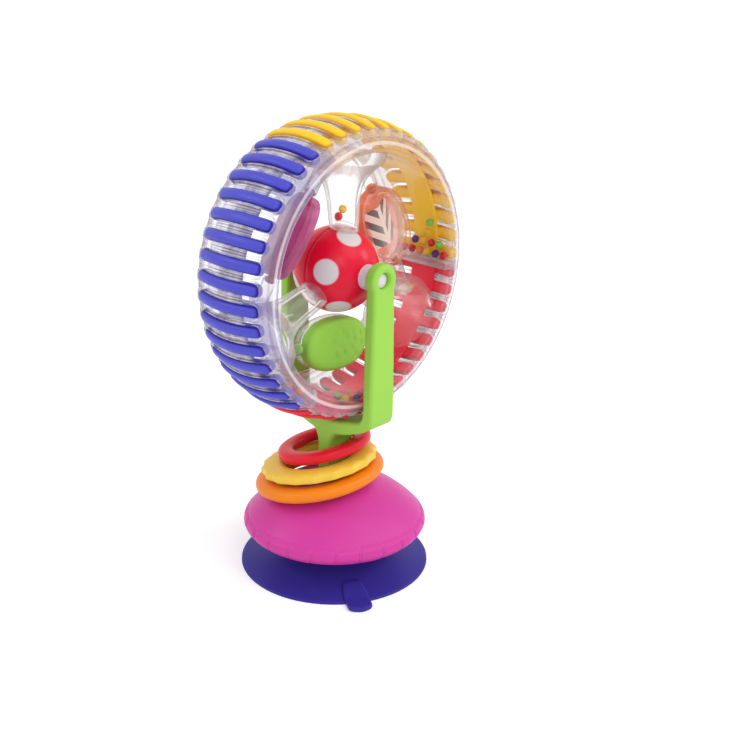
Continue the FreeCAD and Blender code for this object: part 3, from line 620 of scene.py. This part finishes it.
def drumPlace(radius, along, turn):
    angle = math.degrees(turn)
    if radius > drum["outsideFrom"]:
        nearest = (angle - treads["firstAngle"] + ribPitch / 2) % ribPitch - ribPitch / 2
        past = max(abs(along) - (treads["halfLength"] - treads["halfWidth"]), 0)
        gap = math.hypot(math.radians(nearest) * radius, past) - treads["halfWidth"]
        radius += drum["lipHeight"] * math.exp(-((gap - drum["lipOffset"]) / drum["lipWidth"]) ** 2)
        radius -= drum["seamDepth"] * math.exp(-(along / drum["seamWidth"]) ** 2)
    return onWheel(angle, radius, 0, along)


mould("clearDrum", turned(drumProfile(), drumPlace, drum["columns"], joinEnds=True), "clearDrum", "wheel",
      "clear_plastic", "wheel_shell_front", "wheel_shell_back", limit=drum["sharp"])
print("drum moulded")

# Hollow spokes that flare into the drum. The line is (radius, place out from the hub).
spokes = {
    "angles": (85.0, 205.0, 325.0), "wall": 1.3,
    "line": [(5.65, 17.4), (5.8, 19.0), (5.95, 21.5), (6.3, 26.0), (7.3, 30.5), (9.2, 34.5), (12.0, 37.8),
             (15.0, 40.6)],
    "mouthRadius": 16.0,
    "mouthReach": 45.4,  # just into the drum's inner wall
    "seat": 16.8,  # the foot follows the ball at this radius
    "foot": 5.6, "footSteps": (3.6, 1.4, 0),
    "lean": 2.4,  # how far the foot stands forward of the mouth
    "leanEnd": 34.0, "columns": 64,
    "beadFrom": 20.6,  # the lowest bead's place in the frame
    "beadRest": 19.7,  # and where it rests on the foot
    "beadClose": 0.62,  # share of a higher bead's height over it that is left
}


def spokeForm(angle):
    seat, lean, leanEnd, mouth = (spokes[key] for key in ("seat", "lean", "leanEnd", "mouthReach"))

    def ring(radius, shift, outAt):
        spots = [(radius * math.cos(turn), radius * math.sin(turn) - shift) for turn in turnsOf(spokes["columns"])]
        return [onWheel(angle, outAt(aside, along), aside, along) for aside, along in spots]

    def side(shrink):
        rows = [ring(spokes["foot"] - step - shrink, lean,
                     lambda aside, along: math.sqrt(seat ** 2 - aside ** 2 - along ** 2) + shrink)
                for step in spokes["footSteps"]]
        for radius, out in rounded(spokes["line"], 4):
            share = min(max((leanEnd - out) / (leanEnd - seat), 0), 1)
            rows.append(ring(radius - shrink, lean * share, lambda aside, along: out))
        rows.append(ring(spokes["mouthRadius"] - shrink, 0,
                         lambda aside, along: math.sqrt(mouth ** 2 - aside ** 2)))
        return rows

    return skin(side(0) + side(spokes["wall"])[::-1])


# Walls between the chambers, within the drum's section. Each is thickened away from the beads that lie
# on it: 1 is counterclockwise, seen from the front.
walls = {
    "sides": {-5.5: -1, 114.5: -1, 234.5: 1},
    "half": 0.6, "extra": 1.4, "inner": 45.6, "innerHalf": 15.8, "corner": 0.25,
    "faceShare": 0.94, "coreShare": 0.96,
}


def wallForm(angle):
    outer = [(radius, along) for radius, along in drumProfile() if radius > drum["outsideFrom"]]
    inner = [(walls["inner"], along) for _, along in reversed(outer) if abs(along) < walls["innerHalf"]]
    ring = [Vector(point) for point in outer + inner]
    middle = sum(ring, Vector((0, 0))) / len(ring)
    near, far, corner = -walls["half"], walls["half"] + walls["extra"], walls["corner"]
    face, core = walls["faceShare"], walls["coreShare"]
    loops = []
    for tangent, shrink in ((near, face), (near + corner, core), (far - corner, core), (far, face)):
        spots = [middle + (point - middle) * shrink for point in ring]
        loops.append([onWheel(angle, spot.x, walls["sides"][angle] * tangent, spot.y) for spot in spots])
    return skin(loops)


# Flip pods: an oval tray and the lens that closes it, each a cupped wall.
pods = {
    "orange": {"angle": 25.0, "tilt": 0.0},
    "magenta": {"angle": 145.0, "tilt": -60.0},
    "green": {"angle": 265.0, "tilt": 180.0},
}
podForm = {
    "orbit": 28.8, "halfLength": 16.0, "halfWidth": 10.4, "depth": 5.2, "wall": 1.2,
    "square": 2.35, "columns": 96, "leastScale": 0.1,
    # From the middle of the back to the mouth, as (share of the oval, depth).
    "line": [(0.12, 5.2), (0.45, 5.2), (0.7, 5.12), (0.83, 4.9), (0.93, 4.3), (0.985, 3.4), (1.0, 2.3),
             (1.0, 0.05)],
    # Arms and pins, as (radius, place along the pivot).
    "armLine": [(0.8, 16.5), (2.0, 16.6), (2.5, 17.2), (2.5, 28.5), (3.7, 31.5)],
    "pinLine": [(1.3, 15.4), (1.3, 16.6), (1.8, 16.8), (2.0, 17.3), (1.9, 18.0), (1.3, 18.5), (0.4, 18.7)],
    "pinColumns": 24,
}


def armForm(angle, side):
    def place(radius, tangent, turn):
        out, along = podForm["orbit"] + radius * math.cos(turn), radius * math.sin(turn)
        return onWheel(angle, out, side * tangent, along)
    return turned(podForm["armLine"], place, podForm["pinColumns"])


parts = [spokeForm(angle) for angle in spokes["angles"]]
parts += [armForm(pod["angle"], side) for pod in pods.values() for side in (-1, 1)]
mould("clearSpokes", merged(parts), "clearSpoke", "wheel", "clear_plastic")
parts = [wallForm(angle) for angle in walls["sides"]]
mould("chamberWalls", merged(parts), "clearWall", "wheel", "clear_plastic")
print("spokes and walls moulded")

# Ball of two halves with a fine seam, its bushes, and the axle.
ball = {
    "radius": 16.4, "wall": 1.6, "poleRadius": 3.2, "seam": 0.25, "seamHalf": 0.02,
    "edge": 0.03,  # where a half's round ends, as an angle short of the seam
    "rows": 40, "columns": 96,
}
bush = {"inner": 3.1, "outer": 4.7, "sink": 0.4, "chamfer": 0.5, "columns": 64}
pinEnd = [(1.0, 0.0), (2.2, 0.15), (2.75, 0.4), (3.0, 0.85)]


def halfBall(side):
    radius, rows = ball["radius"], ball["rows"]
    start = math.asin(ball["poleRadius"] / radius)
    swings = [start + (math.pi / 2 - ball["edge"] - start) * step / rows for step in range(rows + 1)]
    outside = [(radius * math.sin(swing), radius * math.cos(swing)) for swing in swings]
    outside.append((radius - ball["seam"], ball["seamHalf"]))
    inner = radius - ball["wall"]
    inside = [(inner * math.sin(swing), inner * math.cos(swing)) for swing in reversed(swings)]
    profile = [(out, side * along) for out, along in outside + inside]
    return turned(profile, aboutAxle, ball["columns"], joinEnds=True)


def bushForm(node, side):
    near, far = sorted(abs(corner.y) for corner in boxOf(node))
    inner, outer, chamfer = bush["inner"], bush["outer"], bush["chamfer"]
    line = [(inner, near), (outer, near - bush["sink"]), (outer, far - chamfer), (outer - chamfer, far),
            (inner, far)]
    profile = [(radius, side * along) for radius, along in line]
    return turned(profile, aboutAxle, bush["columns"], joinEnds=True)


mould("ballFront", halfBall(-1), "dottedBall", "wheel", "red_plastic", "ball_front")
mould("ballBack", halfBall(1), "dottedBall", "wheel", "red_plastic", "ball_back")
mould("bushFront", bushForm("hub_bush_front", -1), "whitePlastic", "wheel", "white_plastic", "hub_bush_front")
mould("bushBack", bushForm("hub_bush_back", 1), "whitePlastic", "wheel", "white_plastic", "hub_bush_back")
profile = [(radius, drop - boxOf("axle")[1].y) for radius, drop in pinEnd]
profile += [(radius, -along) for radius, along in reversed(profile)]
mould("axlePin", turned(profile, aboutAxle, bush["columns"]), "whitePlastic", "stand", "white_plastic", "axle")
print("ball and axle turned")


def oval(scale, along):
    points = []
    for turn in turnsOf(podForm["columns"]):
        out = roundPower(math.cos(turn), podForm["square"]) * podForm["halfWidth"] * scale
        tangent = roundPower(math.sin(turn), podForm["square"]) * podForm["halfLength"] * scale
        points.append(Vector((out, along, tangent)))
    return points


def podPoint(pod, point):
    tilted = Matrix.Rotation(math.radians(pod["tilt"]), 3, "Z") @ point
    return onWheel(pod["angle"], podForm["orbit"] + tilted.x, tilted.z, tilted.y)


# Dents of the green pod's face, as place across and along the pod, and half sizes.
dents = {
    "depth": 0.55,
    "spots": [(-3.6, 2.5), (-0.4, 0.6), (2.8, 2.9), (5.2, 0.8), (-2.0, 6.4), (1.4, 7.2), (4.4, 6.0), (-5.2, 8.8),
              (3.4, 10.6), (-0.9, 11.6), (-4.4, -1.8), (0.9, -3.6)],
    "size": (1.5, 0.75),
    "from": 4.2,  # only points this deep in the tray are dented
}


# The skin runs out over the back to the mouth and in again, so each half is a cupped wall.
def cuppedPod(pod, side, dented=False):
    deep, wall = podForm["depth"], podForm["wall"]
    outside = rounded(podForm["line"], 8 if dented else 4)
    shrink, least = wall / podForm["halfWidth"], podForm["leastScale"]
    inside = [(max(scale - shrink, least), along * (deep - wall) / deep) for scale, along in reversed(outside)]
    loops = [oval(scale, side * along) for scale, along in outside + inside]
    if dented:
        wide, tall = dents["size"]
        for point in (point for loop in loops[:len(outside)] for point in loop if abs(point.y) > dents["from"]):
            near = max(math.exp(-((point.x - across) / wide) ** 2 - ((point.z - along) / tall) ** 2)
                       for across, along in dents["spots"])
            point.y -= side * dents["depth"] * near
    return skin([[podPoint(pod, point) for point in loop] for loop in loops])


def podPin(pod, side):
    def place(radius, tangent, turn):
        return podPoint(pod, Vector((radius * math.cos(turn), radius * math.sin(turn), side * tangent)))
    return turned(podForm["pinLine"], place, podForm["pinColumns"])


for colour, pod in pods.items():
    green = colour == "green"
    tray = merged([cuppedPod(pod, 1, dented=green), podPin(pod, -1), podPin(pod, 1)])
    mould(colour + "Tray", tray, "greenPlastic" if green else colour + "Clear", "pod_" + colour,
          "green_plastic" if green else colour + "_clear", f"pod_{colour}_tray")
    mould(colour + "Lens", cuppedPod(pod, -1), "clearLens" if green else colour + "Lens", "pod_" + colour,
          "clear_plastic", f"pod_{colour}_lens")
print("pods moulded")

# Striped card in the orange pod: two slopes that meet in a ridge along the pod, with opposed diagonals.
card = {
    "halfLength": 8.4, "halfWidth": 6.6, "rise": 2.2, "ridge": 0.8, "thickness": 0.5,
    "depth": 2.0, "stripe": 3.7, "slant": 1.1,
    "shift": 40.15,  # in pairs of stripes, and above zero all over the card
    "plainHalf": 0.9,  # half width of the ridge, which has no stripes
    "pale": ("F0E8EC", "FCF6F8"),
    "dark": ("2A2426", "3A3234"),
    "cloudScale": 300.0, "rough": 0.35, "roughSwing": 0.2,
}


def stripedCard(name):
    paint = Paint(name)
    pod = pods["orange"]
    turn = math.radians(pod["angle"])
    local = paint.vector("SUBTRACT", paint.place(), onWheel(pod["angle"], podForm["orbit"], 0, 0) * mm)
    across, along = (paint.vector("DOT_PRODUCT", local, way) for way in (
        (math.cos(turn), 0, math.sin(turn)), (-math.sin(turn), 0, math.cos(turn))))
    slant = (along - across.size() * card["slant"]) * (1 / (card["stripe"] * 2 * mm)) + card["shift"]
    stripes = (slant.part() > 0.5) * (across.size() > card["plainHalf"] * mm)
    cloud = paint.noise(card["cloudScale"])
    pale, dark = (paint.mix(cloud, *[tone(shade) for shade in card[key]]) for key in ("pale", "dark"))
    rough = cloud * card["roughSwing"] + card["rough"]
    return paint.done(paint.coat({"Base Color": paint.mix(stripes, pale, dark), "Roughness": rough}))


finishes["stripedCard"] = stripedCard("stripedCard")


def cardForm():
    wide, ridge, rise, thick = (card[key] for key in ("halfWidth", "ridge", "rise", "thickness"))
    section = [(-wide, 0), (-ridge, -rise), (ridge, -rise), (wide, 0), (wide, thick), (ridge, thick - rise),
               (-ridge, thick - rise), (-wide, thick)]
    return prism(section, (-card["halfLength"], card["halfLength"]), lambda out, along, tangent: podPoint(
        pods["orange"], Vector((out, card["depth"] + along, tangent))))


mould("stripedCard", cardForm(), "stripedCard", "pod_orange", "card_print", "striped_insert", limit=10)

# Beads: round, with a drilled hole's dimple at each end, where the frame's beads lie.
beads = {
    "radius": 1.6,
    "line": [(0.35, 1.45), (0.55, 1.72), (0.95, 1.62), (1.45, 1.2), (1.8, 0.6), (1.9, 0.0)],
    "columns": 20, "turnStep": 1.3, "secondTurn": 1.7,
}


def beadCentres(node):
    form = bmesh.new()
    form.from_mesh(frame["nodes"][node].data)
    bmesh.ops.remove_doubles(form, verts=form.verts, dist=0.01 * mm)
    left, centres = set(form.verts), []
    while left:
        group, edge = set(), [left.pop()]
        while edge:
            vert = edge.pop()
            group.add(vert)
            fresh = {link.other_vert(vert) for link in vert.link_edges} & left
            left -= fresh
            edge += fresh
        centres.append(sum((vert.co for vert in group), Vector()) / len(group) / mm)
    form.free()
    return sorted(centres, key=lambda centre: tuple(round(part, 3) for part in centre))


# Beads inside a spoke have dropped onto its foot.
def settled(centre):
    offset = centre - hub
    for angle in spokes["angles"]:
        ahead = onWheel(angle, 1, 0, 0) - hub
        out = offset.dot(ahead)
        if 0 < out < spokes["leanEnd"] and (offset - ahead * out).length < spokes["foot"]:
            rest = spokes["beadRest"] + (out - spokes["beadFrom"]) * spokes["beadClose"]
            return centre + ahead * (rest - out)
    return centre


def beadForm(centre, turn):
    lean = Matrix.Rotation(turn, 3, "X") @ Matrix.Rotation(turn * beads["secondTurn"], 3, "Y")
    profile = beads["line"] + [(out, -up) for out, up in reversed(beads["line"][:-1])]
    scale = beads["radius"] / beads["line"][-1][0]
    loops = turnedLoops([(out * scale, up * scale) for out, up in profile], aboutStem, beads["columns"])
    return skin([[centre + lean @ point for point in loop] for loop in loops])


for colour in beadColours:
    centres = [settled(centre) for centre in beadCentres("beads_" + colour)]
    parts = [beadForm(centre, beads["turnStep"] * index + len(colour)) for index, centre in enumerate(centres)]
    mould(colour + "Beads", merged(parts), "bead" + colour.title(), "wheel", "bead_" + colour, "beads_" + colour)
print("card and beads made")

# Fork: the side and front outlines pushed through each other, then every edge rounded.
# The lines are (place along the axle, height), down from the top of a leg.
fork = {
    "legInner": 20.2, "legOuter": 25.1,
    "insideLine": [(20.2, 71.9), (19.6, 68.7), (17.8, 66.7), (12.0, 65.4), (6.0, 64.1), (0, 63.7)],
    "shoulder": 71.9,
    "outsideLine": [(25.1, 68.9), (24.2, 65.9), (21.9, 64.1), (17.1, 61.5), (10.0, 58.9), (5.4, 57.5),
                    (3.8, 54.5)],
    "stemTop": 52.6, "stemHalf": 3.5, "sideHalf": 8.0, "frontHalf": 40.0, "headRadius": 6.5,
    "headArc": (-30, 210), "headSteps": 24, "halfWidth": 6.6, "topHalfWidth": 5.6,
    "taper": (45.0, 6.0),  # below the hub
    "boreRadius": 3.05, "boreColumns": 48, "edge": 1.5, "sharp": 32,
}


def forkForm():
    top, low = hub.z + fork["headRadius"], boxOf("fork")[0].z
    over = [(fork["legInner"], top)] + rounded(fork["insideLine"], 4)
    under = [(fork["legOuter"], top), (fork["legOuter"], fork["shoulder"])] + rounded(fork["outsideLine"], 4)
    under += [(fork["stemHalf"], fork["stemTop"]), (fork["stemHalf"], low)]
    outline = [(-along, up) for along, up in over] + over[-2::-1]
    outline += under + [(-along, up) for along, up in reversed(under)]
    ends = (-fork["sideHalf"], fork["sideHalf"])
    sideForm = makeMesh("fork", *prism(outline, ends, lambda along, up, across: Vector((across, along, up))))
    first, last = (math.radians(angle) for angle in fork["headArc"])
    turns = [first + (last - first) * step / fork["headSteps"] for step in range(fork["headSteps"] + 1)]
    wide, narrow, radius = fork["halfWidth"], fork["topHalfWidth"], fork["headRadius"]
    start, end = (hub.z - drop for drop in fork["taper"])
    front = [(-wide, low - 1), (wide, low - 1), (wide, start), (narrow, end)]
    front += [(radius * math.cos(turn), hub.z + radius * math.sin(turn)) for turn in turns]
    front += [(-narrow, end), (-wide, start)]
    ends = (-fork["frontHalf"], fork["frontHalf"])
    frontForm = makeMesh("forkFront", *prism(front, ends, lambda across, up, along: Vector((across, along, up))))
    hole = [(fork["boreRadius"], end) for end in ends]
    bore = makeMesh("forkBore", *turned(hole, aboutAxle, fork["boreColumns"]))
    for tool, operation in ((frontForm, "INTERSECT"), (bore, "DIFFERENCE")):
        setAll(sideForm.modifiers.new("cut", "BOOLEAN"), object=tool, operation=operation, solver="EXACT")
    setAll(sideForm.modifiers.new("soft", "BEVEL"), width=fork["edge"] * mm, segments=4, limit_method="ANGLE",
           angle_limit=math.radians(fork["sharp"]))
    sideForm.modifiers.new("weighted", "WEIGHTED_NORMAL").keep_sharp = False
    graph = bpy.context.evaluated_depsgraph_get()
    mesh = bpy.data.meshes.new_from_object(sideForm.evaluated_get(graph))
    sideForm.modifiers.clear()
    sideForm.data = mesh
    for tool in (frontForm, bore):
        bpy.data.objects.remove(tool)
    for face in mesh.polygons:
        face.use_smooth = True
    return sideForm


dress(forkForm(), "greenPlastic", "stand", "green_plastic", "fork")
print("fork moulded")

# Domed base with a low band of raised panels. The lines are (radius, height), outside and inside.
dome = {
    "outside": [(31.2, 14.2), (33.2, 14.7), (35.3, 16.0), (36.65, 18.2), (36.3, 20.2), (35.2, 21.6), (31.9, 24.9),
                (26.5, 29.2), (20.2, 32.9), (14.0, 35.7), (8.0, 37.2)],
    "inside": [(7.0, 35.2), (13.0, 33.4), (20.0, 30.4), (29.0, 24.0), (34.0, 18.2), (29.2, 14.2)],
    "panels": 24, "panelLow": 15.0, "panelHigh": 21.8, "grooveDepth": 0.32, "grooveWidth": 0.36,
    "grooveEnd": 23.8, "panelCorner": 1.2, "gap": 0.7, "columns": 576,
}


# Distance from the edge of the nearest panel.
def panelDistance(radius, height, turn):
    low, high, corner = dome["panelLow"], dome["panelHigh"], dome["panelCorner"]
    pitch = 2 * math.pi / dome["panels"]
    across = abs(turn % pitch - pitch / 2) * radius - (pitch * radius - dome["gap"]) / 2 + corner
    upward = abs(height - (low + high) / 2) - (high - low) / 2 + corner
    return math.hypot(max(across, 0), max(upward, 0)) + min(max(across, upward), 0) - corner


def domePlace(radius, height, turn):
    if height < dome["grooveEnd"]:
        away = panelDistance(radius, height, turn) / dome["grooveWidth"]
        radius -= dome["grooveDepth"] * math.exp(-away ** 2)
    return aboutStem(radius, height, turn)


loops = turnedLoops(rounded(dome["outside"], 8), domePlace, dome["columns"])
loops += turnedLoops(dome["inside"], aboutStem, dome["columns"])
mould("baseDome", skin(loops, joinEnds=True), "magentaPlastic", "stand", "magenta_plastic", "base_dome")
print("dome moulded")

# Suction cup with a thin edge. The line is (radius, height), and a part of it is the upper face.
cup = {
    "line": [(33.6, 0.0), (37.6, 0.0), (37.8, 0.4), (37.5, 0.95), (33.5, 2.0), (28.0, 4.0), (22.5, 7.2),
             (18.5, 11.0), (17.0, 14.3), (8.0, 14.35), (8.0, 11.0), (12.0, 7.0), (22.0, 3.2), (30.0, 1.2)],
    "upper": (3, 8), "leastRadius": 0.1, "columns": 192,
}
# Tab that peels it off a table. It rises out of the cup's face, widens and ends in a round tip.
tab = {
    "angle": -122.0, "start": 27.5, "end": 44.5, "half": 4.8,
    "neck": 0.72,  # share of the width where the tab starts
    "neckLength": 8.0,
    "tip": 6,  # the tip takes up one of this many parts of the length
    "tipPower": 2.6, "tipLeast": 0.03, "over": 1.25, "under": 0.9, "rootLength": 2.0,
    "rootLeast": 0.15, "lowest": 0.15, "square": 4.5, "rows": 26, "columns": 24,
}


def cupHeight(radius):
    first, last = cup["upper"]
    line = cup["line"][first:last]
    for (farRadius, low), (nearRadius, high) in zip(line, line[1:]):
        if nearRadius <= radius <= farRadius:
            return low + (high - low) * (farRadius - radius) / (farRadius - nearRadius)
    return line[0][1]


def tabForm():
    turn = math.radians(tab["angle"])
    ahead = Vector((math.cos(turn), math.sin(turn), 0))
    aside = Vector((-math.sin(turn), math.cos(turn), 0))
    start, end, neck = tab["start"], tab["end"], tab["neck"]
    loops = []
    for row in range(tab["rows"] + 1):
        out = start + (end - start) * math.sin(row / tab["rows"] * math.pi / 2)
        tip = 1 - min((end - out) / (end - start) * tab["tip"], 1)
        half = tab["half"] * (neck + (1 - neck) * min((out - start) / tab["neckLength"], 1))
        half *= math.sqrt(max(1 - tip ** tab["tipPower"], tab["tipLeast"] ** 2))
        base = cupHeight(out)
        top = base + tab["over"] * min(1, (out - start) / tab["rootLength"] + tab["rootLeast"])
        low = max(base - tab["under"], tab["lowest"])
        loop = []
        for spin in turnsOf(tab["columns"]):
            across, up = (roundPower(share, tab["square"]) for share in (math.cos(spin), math.sin(spin)))
            height = (top + low) / 2 + up * (top - low) / 2
            loop.append(ahead * out + aside * (across * half) + Vector((0, 0, height)))
        loops.append(loop)
    return skin(loops)


profile = rounded(cup["line"], 5, closed=True)
profile = [(max(radius, cup["leastRadius"]), max(height, 0.0)) for radius, height in profile]
parts = [turned(profile, aboutStem, cup["columns"], joinEnds=True), tabForm()]
mould("suctionCup", merged(parts), "navyRubber", "stand", "dark_blue_rubber", "suction_cup")
print("cup moulded")

# Loose rings, where they lean on the dome and on each other.
rings = {
    "orange": {"mean": 21.7, "half": 4.35, "rise": 2.85, "square": 2.3, "finish": "orangePlastic"},
    "yellow": {"mean": 18.3, "half": 4.3, "rise": 2.2, "square": 3.4, "finish": "ringYellow"},
    "red": {"mean": 15.6, "half": 3.35, "rise": 2.4, "square": 2.6, "finish": "ringRed"},
}
ringGrid = {"columns": 288, "rows": 32}
# The yellow ring's edge comes to low points between flats.
ringPoints = {"count": 18, "power": 1.5, "reach": 0.8805, "thinning": 0.11}


def ringForm(colour):
    ring = rings[colour]
    centre, axis = jointPlace(f"ring_{colour}_spin")
    lean = Vector((0, 0, 1)).rotation_difference(axis).to_matrix()
    loops = []
    for column, turn in enumerate(turnsOf(ringGrid["columns"])):
        share = column * ringPoints["count"] / ringGrid["columns"] % 1
        point = (2 * abs(share - 0.5)) ** ringPoints["power"] if colour == "yellow" else 0
        loop = []
        for swing in turnsOf(ringGrid["rows"]):
            across = roundPower(math.cos(swing), ring["square"])
            rise = roundPower(math.sin(swing), ring["square"]) * ring["rise"]
            edge = point * max(across, 0)
            out = ring["mean"] + across * ring["half"] + ringPoints["reach"] * edge
            loop.append(centre + lean @ aboutStem(out, rise * (1 - ringPoints["thinning"] * edge), turn))
        loops.append(loop)
    return skin(loops, joinEnds=True)


for colour, ring in rings.items():
    mould(colour + "Ring", ringForm(colour), ring["finish"], "ring_" + colour, colour + "_plastic",
          colour + "_ring")
for node, finish in {"base_plate": "magentaPlastic", "base_screws": "steel", "stem_screw": "steel"}.items():
    mesh = frame["nodes"][node].data
    mesh.materials.clear()
    mesh.materials.append(finishes[finish])
print("rings moulded")

# Pale floor, a white surround, and soft studio light from above, the right and the left.
studio = {
    "floorRadius": 9.0, "floorDrop": 0.05, "floorTone": "F7F7F8", "floorDrift": 0.985,
    "floorScale": 240.0, "floorRough": 0.9, "floorSpecular": 0.1,
    "floorGlow": "8C8C8C",  # what the camera adds to the floor, so that paper comes out white
    "surround": 0.7, "sunPower": 0.75, "sunSoftness": 40.0, "sunTurn": (38.0, 0.0, 18.0),
    "boxPower": 1.2,
    "boxes": [((-0.42, -0.62, 0.62), 0.34), ((0.62, -0.5, 0.5), 0.26), ((-0.55, 0.45, 0.55), 0.3)],
    "boxTarget": (0, 0, 0.1),
}


def palePaper(name):
    paint = Paint(name)
    fleck = paint.noise(studio["floorScale"])
    white = tone(studio["floorTone"])
    return paint.done(paint.coat({
        "Base Color": paint.mix(fleck, tone(studio["floorTone"], studio["floorDrift"]), white),
        "Roughness": studio["floorRough"],
        "Specular IOR Level": studio["floorSpecular"],
        "Emission Color": paint.mix(paint.viewed(), (0, 0, 0, 1), tone(studio["floorGlow"])),
        "Emission Strength": 1.0,
    }))


corners = [aboutStem(studio["floorRadius"] / mm, -studio["floorDrop"], turn) for turn in turnsOf(64)]
floor = makeMesh("floor", corners, [tuple(range(64))])
floor.data.materials.append(palePaper("palePaper"))
sky = Paint("studio", bpy.data.worlds)
levels = {"Value": sky.viewed(), "To Min": studio["surround"], "To Max": 1.0}
light = {"Color": (1, 1, 1, 1), "Strength": sky.add("ShaderNodeMapRange", {}, levels)["Result"]}
sky.done(sky.add("ShaderNodeBackground", {}, light)["Background"], "ShaderNodeOutputWorld")
bpy.context.scene.world = sky.owner
sun = setAll(bpy.data.lights.new("skylight", "SUN"), energy=studio["sunPower"],
             angle=math.radians(studio["sunSoftness"]))
shown("skylight", sun, rotation_euler=[math.radians(angle) for angle in studio["sunTurn"]])
for index, (spot, width) in enumerate(studio["boxes"]):
    box = setAll(bpy.data.lights.new(f"softbox{index}", "AREA"), size=width, energy=studio["boxPower"])
    aim = (Vector(studio["boxTarget"]) - Vector(spot)).to_track_quat("-Z", "Y").to_euler()
    shown(box.name, box, location=spot, rotation_euler=aim)

# Camera at the photograph's place and angle.
view = {"azimuth": -47.72, "elevation": 20.9, "roll": 1.1, "lens": 56.36, "place": (-304.845, -297.913, 242.602)}
azimuth, elevation, roll = (math.radians(view[key]) for key in ("azimuth", "elevation", "roll"))
spot = Matrix.Translation(Vector(view["place"]) * mm)
for turn, axis in ((azimuth, "Z"), (math.pi / 2 - elevation, "X"), (roll, "Z")):
    spot = spot @ Matrix.Rotation(turn, 4, axis)
camera = setAll(bpy.data.cameras.new("camera"), lens=view["lens"], sensor_width=36, clip_start=0.01)
eye = shown("camera", camera, matrix_world=spot)
bpy.context.scene.camera = eye
bpy.context.scene.view_settings.view_transform = "Standard"
print("studio lit")
